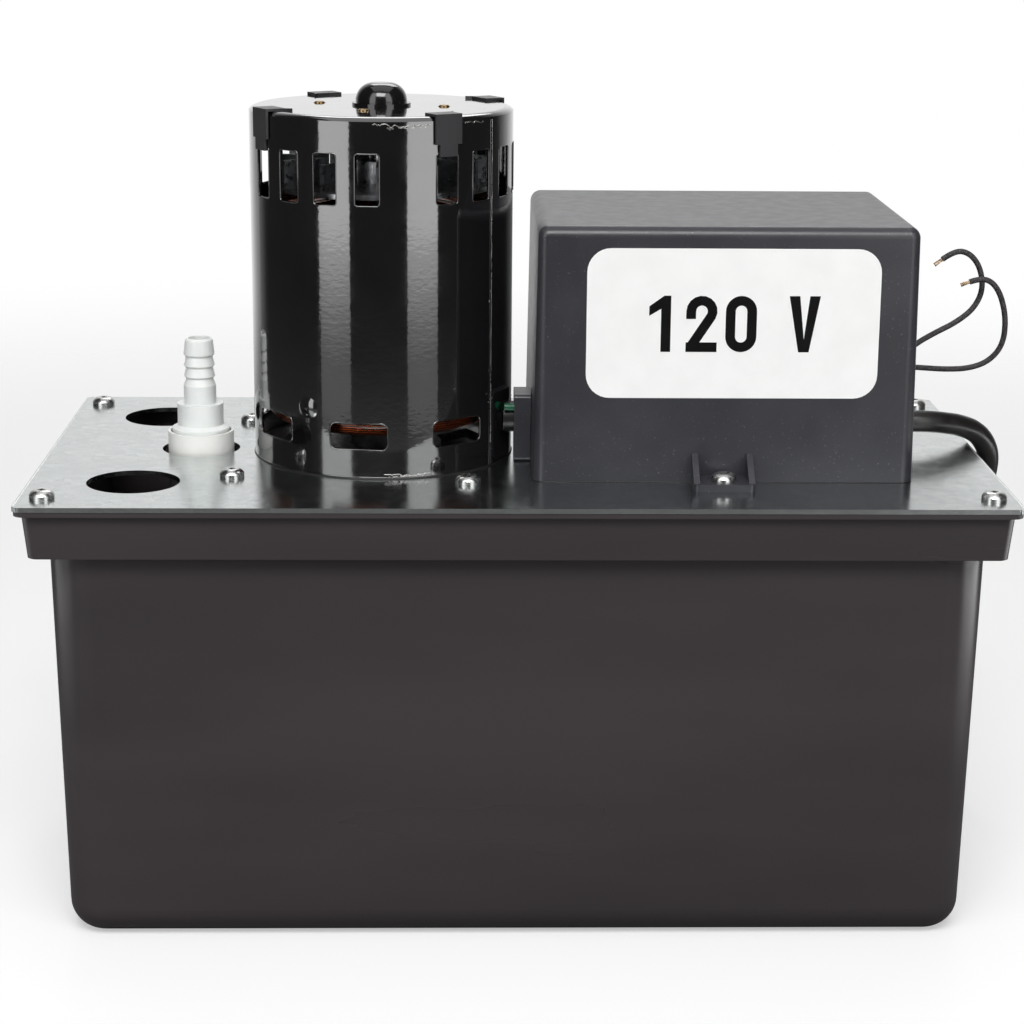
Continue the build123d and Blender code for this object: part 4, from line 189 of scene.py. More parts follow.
# ---------------------------------------------------------------- label
LABEL_X = 65.75
LABEL_RISE = 50.3           # its middle above the deck
LABEL_SIZE = (90.5, 46.6)
LABEL_CORNER = 7.4
LABEL_THICKNESS = 0.16
INK_THICKNESS = 0.05
SEAT = 0.02                 # film of glue under a flat piece
GLYPH_HEIGHT = 17.5
GLYPH_WIDTH = 9.6
GLYPH_PITCH = 12.2
GLYPH_PEN = 3.0
ARC_STEPS = 10


# ---------------------------------------------------------------- small helpers
def linear(colour):
    """An sRGB colour, 0 to 255, as Blender's linear RGBA."""
    def channel(value):
        value /= 255
        return value / 12.92 if value <= 0.04045 else ((value + 0.055) / 1.055) ** 2.4
    return (*[channel(value) for value in colour], 1.0)


def metres(point):
    """A point in millimetres as a Vector in metres."""
    return Vector(point) * MM


def add_object(name, data):
    """A new object in the scene."""
    made = bpy.data.objects.new(name, data)
    scene.collection.objects.link(made)
    return made


def mesh_object(name, form):
    """A mesh object from a bmesh."""
    mesh = bpy.data.meshes.new(name)
    form.to_mesh(mesh)
    form.free()
    return add_object(name, mesh)


def round_curve(name, radius, resolution):
    """A curve whose splines become round lines of a radius in millimetres."""
    data = bpy.data.curves.new(name, "CURVE")
    data.dimensions = "3D"
    data.bevel_depth = radius * MM
    data.bevel_resolution = resolution
    data.use_fill_caps = True
    return data


def add_spline(data, kind, points):
    """Add a spline with knots at points in millimetres."""
    spline = data.splines.new(kind)
    spline.points.add(len(points) - 1)
    for knot, point in zip(spline.points, points):
        knot.co = (*metres(point), 1.0)
    return spline


def round_rectangle(width, height, corner, steps=8, centre=(0, 0)):
    """The outline of a rectangle with round corners."""
    outline = []
    for quarter, (sx, sy) in enumerate(((1, 1), (-1, 1), (-1, -1), (1, -1))):
        for step in range(steps + 1):
            angle = math.radians(90 * quarter + 90 * step / steps)
            outline.append((centre[0] + sx * (width / 2 - corner) + corner * math.cos(angle),
                            centre[1] + sy * (height / 2 - corner) + corner * math.sin(angle)))
    return outline


# ---------------------------------------------------------------- material tools
WAVE_SCALE = 0.314          # makes the wave texture's pitch one unit


def new_material(name, colour, roughness, metallic=0.0, **constants):
    """A material with its constants on the shader's own sockets."""
    material = bpy.data.materials.new(name)
    material.use_nodes = True
    shader = material.node_tree.nodes["Principled BSDF"]
    shader.inputs["Base Color"].default_value = linear(colour)
    shader.inputs["Roughness"].default_value = roughness
    shader.inputs["Metallic"].default_value = metallic
    for socket, value in constants.items():
        shader.inputs[socket.replace("_", " ")].default_value = value
    return material


def shader_of(material):
    """The material's Principled shader."""
    return material.node_tree.nodes["Principled BSDF"]


def link(owner, source, target):
    """Join two sockets of a material or of the world."""
    owner.node_tree.links.new(source, target)


def spread(material, size, stretch=(1, 1, 1)):
    """Object coordinates in units of a feature's size in millimetres."""
    place = material.node_tree.nodes.new("ShaderNodeTexCoord")
    scale = material.node_tree.nodes.new("ShaderNodeVectorMath")
    scale.operation = "MULTIPLY"
    scale.inputs[1].default_value = [1 / (size * MM * part) for part in stretch]
    link(material, place.outputs["Object"], scale.inputs[0])
    return scale.outputs[0]


def noise(material, size, detail=3.0, stretch=(1, 1, 1), roughness=0.5):
    """Noise whose features are about size millimetres across, 0 to 1."""
    texture = material.node_tree.nodes.new("ShaderNodeTexNoise")
    texture.inputs["Scale"].default_value = 1.0
    texture.inputs["Detail"].default_value = detail
    texture.inputs["Roughness"].default_value = roughness
    link(material, spread(material, size, stretch), texture.inputs["Vector"])
    return texture.outputs["Fac"]


def cells(material, size, output="Color"):
    """Cells about size millimetres across: a random colour each, or the distance to their middles."""
    texture = material.node_tree.nodes.new("ShaderNodeTexVoronoi")
    texture.inputs["Scale"].default_value = 1.0
    link(material, spread(material, size), texture.inputs["Vector"])
    return texture.outputs[output]


def stripes(material, pitch, distortion=0.0):
    """A wave that climbs the Z axis with a pitch in millimetres, 0 to 1."""
    texture = material.node_tree.nodes.new("ShaderNodeTexWave")
    texture.bands_direction = "Z"
    texture.inputs["Scale"].default_value = WAVE_SCALE
    texture.inputs["Distortion"].default_value = distortion
    link(material, spread(material, pitch), texture.inputs["Vector"])
    return texture.outputs["Fac"]


def ranged(owner, source, low, high, start=0.3, end=0.7):
    """A value taken smoothly from low to high as its source goes from start to end."""
    change = owner.node_tree.nodes.new("ShaderNodeMapRange")
    change.interpolation_type = "SMOOTHSTEP"
    for socket, value in (("From Min", start), ("From Max", end), ("To Min", low), ("To Max", high)):
        change.inputs[socket].default_value = value
    link(owner, source, change.inputs["Value"])
    return change.outputs["Result"]


def mix_colours(material, factor, first, second):
    """A mix of two colours, each an sRGB colour or a socket."""
    mix = material.node_tree.nodes.new("ShaderNodeMix")
    mix.data_type = "RGBA"
    link(material, factor, mix.inputs["Factor"])
    for socket, colour in zip([item for item in mix.inputs if item.type == "RGBA"], (first, second)):
        if isinstance(colour, tuple):
            socket.default_value = linear(colour)
        else:
            link(material, colour, socket)
    return [item for item in mix.outputs if item.type == "RGBA"][0]


def mix_shaders(material, factor, first, second):
    """A mix of two shaders."""
    mix = material.node_tree.nodes.new("ShaderNodeMixShader")
    for socket, source in zip(mix.inputs, (factor, first, second)):
        link(material, source, socket)
    return mix.outputs[0]


def tint(material, factor, first, second):
    """Vary the base colour between two colours."""
    mixed = mix_colours(material, factor, first, second)
    link(material, mixed, shader_of(material).inputs["Base Color"])


def rough(material, source, low, high):
    """Vary the roughness."""
    link(material, ranged(material, source, low, high), shader_of(material).inputs["Roughness"])


def bump(material, source, depth, strength=1.0):
    """Add relief of a depth in millimetres on top of any there is."""
    relief = material.node_tree.nodes.new("ShaderNodeBump")
    relief.inputs["Distance"].default_value = depth * MM
    relief.inputs["Strength"].default_value = strength
    link(material, source, relief.inputs["Height"])
    normal = shader_of(material).inputs["Normal"]
    if normal.links:
        link(material, normal.links[0].from_socket, relief.inputs["Normal"])
    link(material, relief.outputs["Normal"], normal)


# ---------------------------------------------------------------- camera, light and floor
def make_camera():
    """The camera at the viewing angle."""
    yaw, pitch, roll = CAMERA_YAW, CAMERA_PITCH, CAMERA_ROLL
    forward = Vector((math.sin(yaw) * math.cos(pitch), math.cos(yaw) * math.cos(pitch), -math.sin(pitch)))
    level_right = Vector((math.cos(yaw), -math.sin(yaw), 0))
    level_up = level_right.cross(forward)
    right = math.cos(roll) * level_right + math.sin(roll) * level_up
    up = math.cos(roll) * level_up - math.sin(roll) * level_right
    data = bpy.data.cameras.new("camera")
    data.lens = CAMERA_LENS
    camera = add_object("camera", data)
    turn = Matrix((right, up, -forward)).transposed()
    camera.matrix_world = Matrix.Translation(metres(CAMERA_PLACE)) @ turn.to_4x4()
    scene.camera = camera


def softbox(name, place, aim, size, power):
    """A rectangular lamp that faces a point, unseen by the camera itself."""
    data = bpy.data.lights.new(name, "AREA")
    data.shape = "RECTANGLE"
    data.size, data.size_y = size[0] * MM, size[1] * MM
    data.energy = power
    lamp = add_object(name, data)
    lamp.location = metres(place)
    lamp.rotation_euler = (metres(aim) - metres(place)).to_track_quat("-Z", "Y").to_euler()
    lamp.visible_camera = False


def make_lamps():
    """Two tall softboxes at the front that dim towards the floor, three wide lamps above, two low."""
    for angle in SOFTBOX_ANGLES:
        side = "left" if angle < 0 else "right"
        x = MOTOR_X + SOFTBOX_DISTANCE * math.sin(math.radians(angle))
        y = -SOFTBOX_DISTANCE * math.cos(math.radians(angle))
        for bottom, top, share in SOFTBOX_BANDS:
            height, middle = top - bottom, (top + bottom) / 2
            softbox(f"softbox_{side}_{bottom:.0f}", (x, y, middle), (MOTOR_X, 0, middle),
                    (SOFTBOX_WIDTH, height), SOFTBOX_GLOW * share * SOFTBOX_WIDTH * height)
    softbox("overhead", OVERHEAD_PLACE, (0, 0, 0), OVERHEAD_SIZE, OVERHEAD_POWER)
    softbox("front_fill", FILL_PLACE, (0, 0, DECK), FILL_SIZE, FILL_POWER)
    softbox("back_fill", BACK_PLACE, (0, 0, DECK), FILL_SIZE, BACK_POWER)
    for x, power in LOW_LAMPS:
        side, z = "left" if x < 0 else "right", LOW_SIZE[1] / 2
        softbox(f"low_{side}", (x, LOW_Y, z), (0, LOW_Y, z), LOW_SIZE, power)


def make_world():
    """A studio that is pale behind the object and dim in front of it, and white to the camera."""
    world = bpy.data.worlds.new("studio")
    scene.world = world
    world.use_nodes = True
    nodes = world.node_tree.nodes
    direction = nodes.new("ShaderNodeTexCoord")
    split = nodes.new("ShaderNodeSeparateXYZ")
    link(world, direction.outputs["Generated"], split.inputs[0])
    glow = ranged(world, split.outputs["Y"], WORLD_FRONT, WORLD_BACK, *WORLD_FADE)
    path = nodes.new("ShaderNodeLightPath")
    seen = nodes.new("ShaderNodeMix")
    link(world, path.outputs["Is Camera Ray"], seen.inputs["Factor"])
    link(world, glow, seen.inputs["A"])
    seen.inputs["B"].default_value = 1.0
    background = nodes["Background"]
    background.inputs["Color"].default_value = (1, 1, 1, 1)
    link(world, seen.outputs["Result"], background.inputs["Strength"])


def make_floor():
    """A round pale floor that takes the object's shadow and fades out into the white round it."""
    form = bmesh.new()
    bmesh.ops.create_circle(form, cap_ends=True, segments=FLOOR_SEGMENTS, radius=FLOOR_RADIUS * MM)
    floor = mesh_object("floor", form)
    material = bpy.data.materials.new("floor")
    material.use_nodes = True
    floor.data.materials.append(material)
    nodes = material.node_tree.nodes
    nodes.remove(nodes["Principled BSDF"])
    pale = nodes.new("ShaderNodeBsdfDiffuse")
    pale.inputs["Color"].default_value = linear(FLOOR_PALE)
    glow = nodes.new("ShaderNodeEmission")
    glow.inputs["Strength"].default_value = FLOOR_GLOW
    lit = nodes.new("ShaderNodeAddShader")
    link(material, pale.outputs[0], lit.inputs[0])
    link(material, glow.outputs[0], lit.inputs[1])
    dim = nodes.new("ShaderNodeBsdfDiffuse")
    dim.inputs["Color"].default_value = linear(FLOOR_DIM)
    path = nodes.new("ShaderNodeLightPath")
    seen = mix_shaders(material, path.outputs["Is Camera Ray"], dim.outputs[0], lit.outputs[0])
    place = nodes.new("ShaderNodeTexCoord")
    radius = nodes.new("ShaderNodeVectorMath")
    radius.operation = "LENGTH"
    link(material, place.outputs["Object"], radius.inputs[0])
    fade = ranged(material, radius.outputs["Value"], 0, 1, FLOOR_SOLID * MM, FLOOR_GONE * MM)
    clear = nodes.new("ShaderNodeBsdfTransparent")
    faded = mix_shaders(material, fade, seen, clear.outputs[0])
    link(material, faded, nodes["Material Output"].inputs["Surface"])


make_camera()
make_lamps()
make_world()
make_floor()


# ---------------------------------------------------------------- materials
def moulded(name, colour, shade, roughness, grain=0.35, grain_depth=0.012, mottle=30.0, **constants):
    """Moulded plastic: a faint cloudiness in its colour and a fine surface grain."""
    material = new_material(name, colour, roughness, **constants)
    cloud = noise(material, mottle, detail=4)
    tint(material, ranged(material, cloud, 0, 1), colour, shade)
    rough(material, noise(material, mottle / 3), roughness - 0.05, roughness + 0.05)
    bump(material, noise(material, grain, detail=2), grain_depth)
    return material


def tank_plastic():
    """Charcoal moulded tank wall with long, faint flow marks."""
    material = new_material("tank_plastic", (57, 54, 55), 0.36, Specular_IOR_Level=0.5)
    flow = noise(material, 90, detail=5, stretch=(2.5, 2.5, 0.6))
    tint(material, ranged(material, flow, 0, 1), (64, 58, 59), (54, 50, 52))
    rough(material, noise(material, 60, detail=4, stretch=(3, 3, 0.5)), 0.27, 0.36)
    bump(material, noise(material, 0.5, detail=2), 0.004)
    return material


def galvanized():
    """Zinc-coated sheet: small dull and bright crystals, fine rolling lines, and dark and pale specks."""
    material = new_material("galvanized", (196, 200, 199), 0.2, metallic=1.0)
    crystal = cells(material, 2.6)
    tone = material.node_tree.nodes.new("ShaderNodeSeparateColor")
    link(material, crystal, tone.inputs[0])
    plain = mix_colours(material, tone.outputs["Red"], (198, 202, 202), (212, 216, 216))
    dull = ranged(material, noise(material, 14, detail=4), 0, 0.55)
    clouded = mix_colours(material, dull, plain, (198, 202, 202))
    speck = ranged(material, noise(material, 0.8, detail=1), 0, 1, start=0.72, end=0.78)
    speckled = mix_colours(material, speck, clouded, (150, 153, 153))
    grain = ranged(material, noise(material, 0.6, detail=2), 0, 1, start=0.62, end=0.74)
    tint(material, grain, speckled, (236, 239, 239))
    crystal_roughness = ranged(material, tone.outputs["Green"], 0.16, 0.2, start=0, end=1)
    cloud_roughness = ranged(material, noise(material, 10, detail=3), 0.0, 0.03)
    total = material.node_tree.nodes.new("ShaderNodeMath")
    link(material, crystal_roughness, total.inputs[0])
    link(material, cloud_roughness, total.inputs[1])
    link(material, total.outputs[0], shader_of(material).inputs["Roughness"])
    bump(material, noise(material, 1.2, detail=3, stretch=(6, 1, 1)), 0.002)
    bump(material, noise(material, 18, detail=2), 0.03, strength=0.3)
    return material


def motor_paint():
    """Thick gloss black enamel with a slow ripple in its surface."""
    material = new_material("motor_paint", (17, 15, 15), 0.09, Specular_IOR_Level=0.8, Coat_Weight=1.0,
                            Coat_Roughness=0.04, Coat_IOR=1.9)
    tint(material, ranged(material, noise(material, 25), 0, 1), (19, 17, 17), (12, 11, 12))
    rough(material, noise(material, 8), 0.07, 0.14)
    bump(material, noise(material, 1.5, detail=2, stretch=(1.6, 1.6, 0.8)), 0.020, strength=0.8)
    bump(material, noise(material, 12, detail=1), 0.05, strength=0.35)
    coat_normal = shader_of(material).inputs["Normal"].links[0].from_socket
    link(material, coat_normal, shader_of(material).inputs["Coat Normal"])
    return material


def bright_metal(name, colour, shade, roughness, scratch=0.3, depth=0.004):
    """Plated or turned metal with faint turning lines."""
    material = new_material(name, colour, roughness, metallic=1.0)
    tint(material, ranged(material, noise(material, 2.5), 0, 1), colour, shade)
    rough(material, noise(material, 1.5), roughness * 0.7, roughness * 1.4)
    bump(material, noise(material, scratch, detail=2, stretch=(1, 1, 3)), depth)
    return material


def white_plastic(name, colour, shade):
    """White moulded nylon that lets a little light in."""
    material = moulded(name, colour, shade, 0.33, grain=0.5, grain_depth=0.006, mottle=8.0)
    shader = shader_of(material)
    shader.inputs["Subsurface Weight"].default_value = 0.25
    shader.inputs["Subsurface Radius"].default_value = (1.0, 0.9, 0.8)
    shader.inputs["Subsurface Scale"].default_value = 1.2 * MM
    return material


def cover_plastic():
    """Slate moulded cover with a fine sparkle texture."""
    material = new_material("cover_plastic", (53, 53, 58), 0.4, Specular_IOR_Level=0.55)
    cloud = ranged(material, noise(material, 22, detail=5), 0, 1)
    clouded = mix_colours(material, cloud, (54, 54, 59), (46, 46, 51))
    sparkle = ranged(material, noise(material, 0.7, detail=1), 0, 1, start=0.68, end=0.8)
    tint(material, sparkle, clouded, (86, 86, 92))
    rough(material, noise(material, 5, detail=4), 0.31, 0.36)
    bump(material, noise(material, 0.6, detail=3, roughness=0.7), 0.022, strength=0.9)
    bump(material, noise(material, 40, detail=1), 0.10, strength=0.15)
    return material


def lamination():
    """Stacked steel sheets."""
    material = new_material("lamination", (120, 118, 115), 0.42, metallic=1.0)
    tint(material, stripes(material, 0.65), (134, 130, 126), (72, 68, 66))
    rough(material, noise(material, 2), 0.35, 0.55)
    bump(material, stripes(material, 0.65), 0.05)
    return material


def winding():
    """Varnished copper wire laid round the core."""
    material = new_material("winding", (150, 62, 22), 0.3, metallic=0.85, Coat_Weight=0.6,
                            Coat_Roughness=0.15)
    strand = stripes(material, 0.8, distortion=2.0)
    # The colour darkens into the grooves between the turns: painted shade.
    tint(material, ranged(material, strand, 0, 1, start=0.1, end=0.8), (44, 16, 7), (168, 74, 28))
    rough(material, noise(material, 3), 0.22, 0.42)
    bump(material, strand, 0.25)
    return material


def braided(name, colour, shade):
    """Fibre-glass covered lead wire with a fine weave."""
    material = new_material(name, colour, 0.6)
    weave = cells(material, 0.45, output="Distance")
    tint(material, ranged(material, weave, 0, 1, start=0.1, end=0.6), colour, shade)
    rough(material, noise(material, 1.0), 0.5, 0.7)
    bump(material, weave, 0.12)
    return material


def cord_jacket():
    """Black-brown satin cord jacket."""
    material = new_material("cord_rubber", (30, 27, 26), 0.34, Specular_IOR_Level=0.6)
    tint(material, ranged(material, noise(material, 6, detail=4), 0, 1), (34, 31, 30), (25, 23, 22))
    rough(material, noise(material, 4), 0.28, 0.42)
    bump(material, noise(material, 0.6, detail=3), 0.012)
    bump(material, noise(material, 7, detail=1), 0.12, strength=0.3)
    return material


def vinyl(name, colour, shade, roughness=0.35, **constants):
    """Printed label film."""
    material = new_material(name, colour, roughness, **constants)
    tint(material, ranged(material, noise(material, 12, detail=3), 0, 1), colour, shade)
    rough(material, noise(material, 5), roughness - 0.05, roughness + 0.07)
    bump(material, noise(material, 2.2, detail=3), 0.004)
    return material


finishes = {
    "tank_plastic": tank_plastic(),
    "galvanized": galvanized(),
    "zinc_screw": bright_metal("zinc_screw", (216, 217, 214), (196, 197, 196), 0.27),
    "motor_paint": motor_paint(),
    "clip_steel": moulded("clip_steel", (44, 44, 47), (32, 32, 34), 0.38, grain=0.8, Specular_IOR_Level=0.7),
    "gloss_rubber": moulded("gloss_rubber", (20, 19, 20), (14, 13, 14), 0.14, grain_depth=0.003,
                            Coat_Weight=0.6, Coat_Roughness=0.06),
    "black_rubber": moulded("black_rubber", (30, 29, 29), (22, 21, 22), 0.42, grain_depth=0.01),
    "brass": bright_metal("brass", (204, 178, 138), (164, 132, 92), 0.3),
    "cast_metal": bright_metal("cast_metal", (150, 150, 150), (120, 120, 121), 0.45, scratch=1.2, depth=0.05),
    "lamination": lamination(),
    "winding": winding(),
    "bronze": bright_metal("bronze", (176, 128, 74), (140, 98, 56), 0.35),
    "pump_plastic": moulded("pump_plastic", (40, 41, 43), (32, 32, 34), 0.48, grain=0.6, grain_depth=0.03),
    "white_nylon": white_plastic("white_nylon", (229, 231, 229), (221, 224, 223)),
    "ring_white": white_plastic("ring_white", (230, 230, 227), (223, 223, 219)),
    "cover_plastic": cover_plastic(),
    "green_wire": moulded("green_wire", (10, 98, 66), (6, 74, 50), 0.4, mottle=3.0),
    "switch_plastic": moulded("switch_plastic", (34, 33, 34), (26, 25, 26), 0.3, mottle=6.0),
    "cord_rubber": cord_jacket(),
    "plug_rubber": moulded("plug_rubber", (32, 30, 30), (24, 22, 22), 0.4, grain=0.7, grain_depth=0.03),
    "lead_rubber": braided("lead_rubber", (92, 88, 88), (40, 37, 38)),
    "shaft_steel": bright_metal("shaft_steel", (176, 177, 180), (150, 151, 154), 0.2),
    "fan_metal": bright_metal("fan_metal", (168, 170, 172), (140, 142, 145), 0.34, scratch=0.8, depth=0.01),
    "float_plastic": moulded("float_plastic", (38, 38, 40), (30, 30, 32), 0.4, mottle=18.0),
    "label_white": vinyl("label_white", (242, 242, 241), (238, 238, 237)),
    "label_ink": vinyl("label_ink", (7, 7, 8), (11, 11, 12), 0.45, Specular_IOR_Level=0.15),
    # Pale plastic for the bead round the deck's edge: a painted highlight.
    "painted_edge_highlight": moulded("painted_edge_highlight", (222, 225, 224), (206, 209, 208), 0.4, mottle=5.0),
    "chipped_metal": bright_metal("chipped_metal", (214, 212, 208), (170, 168, 164), 0.34),
    "bare_copper": bright_metal("bare_copper", (206, 186, 160), (170, 140, 112), 0.35),
}
slot_of = {item["node"]: item["material_slot"] for item in frame["record"]["subparts"]}
special_finish = {"shaft_dust_cap": "gloss_rubber"}
for name, item in node.items():
    item.data.materials.clear()
    item.data.materials.append(finishes[special_finish.get(name, slot_of[name])])


def dress(piece, finish):
    """Give a new piece its finish, and let it ride on the body that stands still."""
    piece.data.materials.append(finishes[finish])
    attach(piece, "root")
    return piece


# ---------------------------------------------------------------- cord and leads
def flexible(name, points, diameter):
    """A round flexible line whose centre follows a quadratic NURBS spline with control points."""
    data = round_curve(name, diameter / 2, resolution=6)
    data.resolution_u = 10
    spline = add_spline(data, "NURBS", points)
    spline.order_u = 3
    spline.use_endpoint_u = True
    return add_object(name, data)


def coil_points():
    """Turns of the put-away coil: inwards on the floor, outwards again a layer up, and off to the plug."""
    x, y = COIL_CENTRE
    radii = [*COIL_RADII, *COIL_RADII[::-1]]
    widen = 1 / math.cos(math.pi / TURN_STEPS)      # control points stand a little outside the circle
    points = []
    for step in range(int(COIL_TURNS * TURN_STEPS)):
        turn, part = divmod((step + 0.5) / TURN_STEPS, 1)
        following = min(int(turn) + 1, len(radii) - 1)
        change = max(0.0, (part - TURN_STEADY) / (1 - TURN_STEADY))
        radius = radii[int(turn)] + (radii[following] - radii[int(turn)]) * change
        layer = turn // len(COIL_RADII)
        layer += (following // len(COIL_RADII) - layer) * change
        angle = 2 * math.pi * part
        points.append((x + radius * widen * math.cos(angle), y + radius * widen * math.sin(angle),
                       FLOOR_Z + CORD_DIAMETER * layer))
    return points


COIL_END = (COIL_CENTRE[0] - COIL_TAIL, COIL_CENTRE[1] + COIL_RADII[0], FLOOR_Z + CORD_DIAMETER)
TAIL_START = (COIL_CENTRE[0] - COIL_TAIL / 2, COIL_END[1], COIL_END[2])
supply_points = [*CORD_ROUTE, *coil_points(), TAIL_START, COIL_END]
supply_cord = dress(flexible("supply_cord", supply_points, CORD_DIAMETER), "cord_rubber")
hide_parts("power_cord", "power_cord_coil")


def bare_tip(name, points):
    """The stripped end of a lead: a short twist of strands that goes on from its last point."""
    data = round_curve(name, STRAND_RADIUS, resolution=2)
    end = Vector(points[-1])
    along = (end - Vector(points[-2])).normalized()
    across = along.orthogonal().normalized()
    aside = along.cross(across)
    for strand in range(STRANDS):
        path = []
        for step in range(TIP_STEPS + 1):
            part = step / TIP_STEPS
            angle = 2 * math.pi * (strand / STRANDS + TIP_TWIST * part)
            ring = STRAND_CIRCLE * (1 + TIP_SPLAY * part * part)
            place = end + along * (TIP_LENGTH * part - TIP_INSET)
            path.append(place + (across * math.cos(angle) + aside * math.sin(angle)) * ring)
        add_spline(data, "POLY", path)
    return dress(add_object(name, data), "bare_copper")


tip_upper = bare_tip("lead_tip_upper", UPPER_LEAD)
tip_lower = bare_tip("lead_tip_lower", LOWER_LEAD)
lead_upper = dress(flexible("lead_upper", UPPER_LEAD, LEAD_DIAMETER), "lead_rubber")
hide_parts("safety_lead_upper")
lead_lower = dress(flexible("lead_lower", LOWER_LEAD, LEAD_DIAMETER), "lead_rubber")
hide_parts("safety_lead_lower")


# ---------------------------------------------------------------- trim on the shell, cover and deck
rng = random.Random(5)


def on_shell(angle, aside, rise, lift=0.0):
    """A point on the shell's outside: an angle round it, a distance aside along its tangent and a rise."""
    outward = Vector((math.cos(math.radians(angle)), math.sin(math.radians(angle)), 0))
    tangent = Vector((-outward.y, outward.x, 0))
    out = math.sqrt((MOTOR_RADIUS + lift) ** 2 - aside ** 2)
    return Vector((MOTOR_X, 0, DECK + rise)) + outward * out + tangent * aside


def beads(name, paths, radius, cyclic, finish="motor_paint"):
    """Thin rounded beads of slightly uneven thickness along paths."""
    data = round_curve(name, radius, resolution=2)
    for path in paths:
        spline = add_spline(data, "POLY", path)
        for knot in spline.points:
            knot.radius = rng.uniform(*BEAD_SWELL)
        spline.use_cyclic_u = cyclic
    dress(add_object(name, data), finish)


window_paths = []
for angles, size, rise, corner in ((SLOT_ANGLES, SLOT_SIZE, SLOT_RISE, SLOT_CORNER),
                                   (VENT_ANGLES, VENT_SIZE, VENT_RISE, VENT_CORNER)):
    for angle in angles:
        rim = round_rectangle(*size, corner, steps=4)
        window_paths.append([on_shell(angle, aside, rise + up, -BEAD_SINK) for aside, up in rim])
beads("window_beads", window_paths, BEAD_RADIUS, cyclic=True)

seam_paths = []
for side in (-1, 1):
    seam_paths.append([on_shell(SEAM_ANGLE, side * (SEAM_WIDTH / 2 + rng.uniform(*SEAM_WANDER)),
                                SEAM_ENDS[0] + (SEAM_ENDS[1] - SEAM_ENDS[0]) * step / SEAM_STEPS, -BEAD_SINK)
                       for step in range(SEAM_STEPS + 1)])
beads("seam_beads", seam_paths, BEAD_RADIUS, cyclic=False)
# A bright bare-metal line along the seam: partly wear, partly a painted highlight where the seam catches
# light.
wear_and_highlight_path = [point + Vector(SEAM_WEAR_AND_HIGHLIGHT_SHIFT) for point in seam_paths[1][SEAM_WEAR_AND_HIGHLIGHT_START:]]
beads("seam_wear_and_highlight", [wear_and_highlight_path], THIN_BEAD_RADIUS, cyclic=False, finish="chipped_metal")

ring_angles = [360 * step / RING_STEPS for step in range(RING_STEPS)]
foot_path = [on_shell(angle, 0, BEAD_RADIUS + FOOT_RISE, -BEAD_SINK) for angle in ring_angles]
beads("shell_foot_bead", [foot_path], BEAD_RADIUS, cyclic=True)
# A thin black ring where the shell meets the deck: a painted contact shadow.
shadow_line_path = [on_shell(angle, 0, THIN_BEAD_RADIUS, SHADOW_LINE_LIFT) for angle in ring_angles]
beads("shell_foot_shadow_line", [shadow_line_path], BEAD_RADIUS, cyclic=True, finish="black_rubber")


def flakes(name, bands):
    """Chipped spots where bare metal shows: small ragged scales on the shell, in bands of angle and rise."""
    form = bmesh.new()
    for start, end, rise, drop, count in bands:
        for _ in range(count):
            angle = rng.uniform(start, end)
            middle = rise - rng.uniform(0, drop)
            wide, high = rng.uniform(*FLAKE_WIDTH), rng.uniform(*FLAKE_HEIGHT)
            lean = rng.uniform(-FLAKE_LEAN, FLAKE_LEAN)
            rim = []
            for corner in range(FLAKE_CORNERS):
                turn = 2 * math.pi * corner / FLAKE_CORNERS
                reach = rng.uniform(*FLAKE_REACH)
                aside = wide * reach * math.cos(turn)
                up = middle + high * reach * math.sin(turn) + lean * aside
                rim.append((aside, up))
            low = [form.verts.new(metres(on_shell(angle, *place, -FLAKE_SINK))) for place in rim]
            top = [form.verts.new(metres(on_shell(angle, *place, FLAKE_LIFT))) for place in rim]
            form.faces.new(top)
            form.faces.new(low[::-1])
            for one, (a, b) in enumerate(zip(low, top)):
                following = (one + 1) % FLAKE_CORNERS
                form.faces.new((a, low[following], top[following], b))
    bmesh.ops.recalc_face_normals(form, faces=form.faces)
    dress(mesh_object(name, form), "chipped_metal")


flakes("shell_chips", CHIP_BANDS)

ragged_paths = []
for start, end, rise, drop in RAGGED_EDGES:
    path, fall = [], 0.0
    steps = int(abs(end - start) * RAGGED_STEPS)
    for step in range(steps + 1):
        fall = min(drop, max(0.0, fall + rng.uniform(-RAGGED_JUMP, RAGGED_JUMP) * drop))
        path.append(on_shell(start + (end - start) * step / steps, 0, rise - fall))
    ragged_paths.append(path)
beads("ragged_paint", ragged_paths, THIN_BEAD_RADIUS, cyclic=False, finish="chipped_metal")

# A thin black ring where the cover meets the deck: a painted contact shadow.
cover_foot = round_rectangle(COVER_RIGHT - COVER_LEFT, 2 * COVER_FACE, COVER_CORNER,
                             centre=((COVER_LEFT + COVER_RIGHT) / 2, 0))
cover_shadow_path = [(x, y, DECK + THIN_BEAD_RADIUS) for x, y in cover_foot]
beads("cover_foot_shadow_line", [cover_shadow_path], THIN_BEAD_RADIUS, cyclic=True, finish="black_rubber")

# A pale bead round the deck plate's edge: a painted highlight along the edge.
edge = round_rectangle(*[side - 2 * EDGE_INSET for side in PLATE_SIZE], PLATE_CORNER - EDGE_INSET)
edge_highlight_path = [(x, y, DECK - EDGE_INSET) for x, y in edge]
beads("deck_edge_highlight", [edge_highlight_path], EDGE_RADIUS, cyclic=True, finish="painted_edge_highlight")


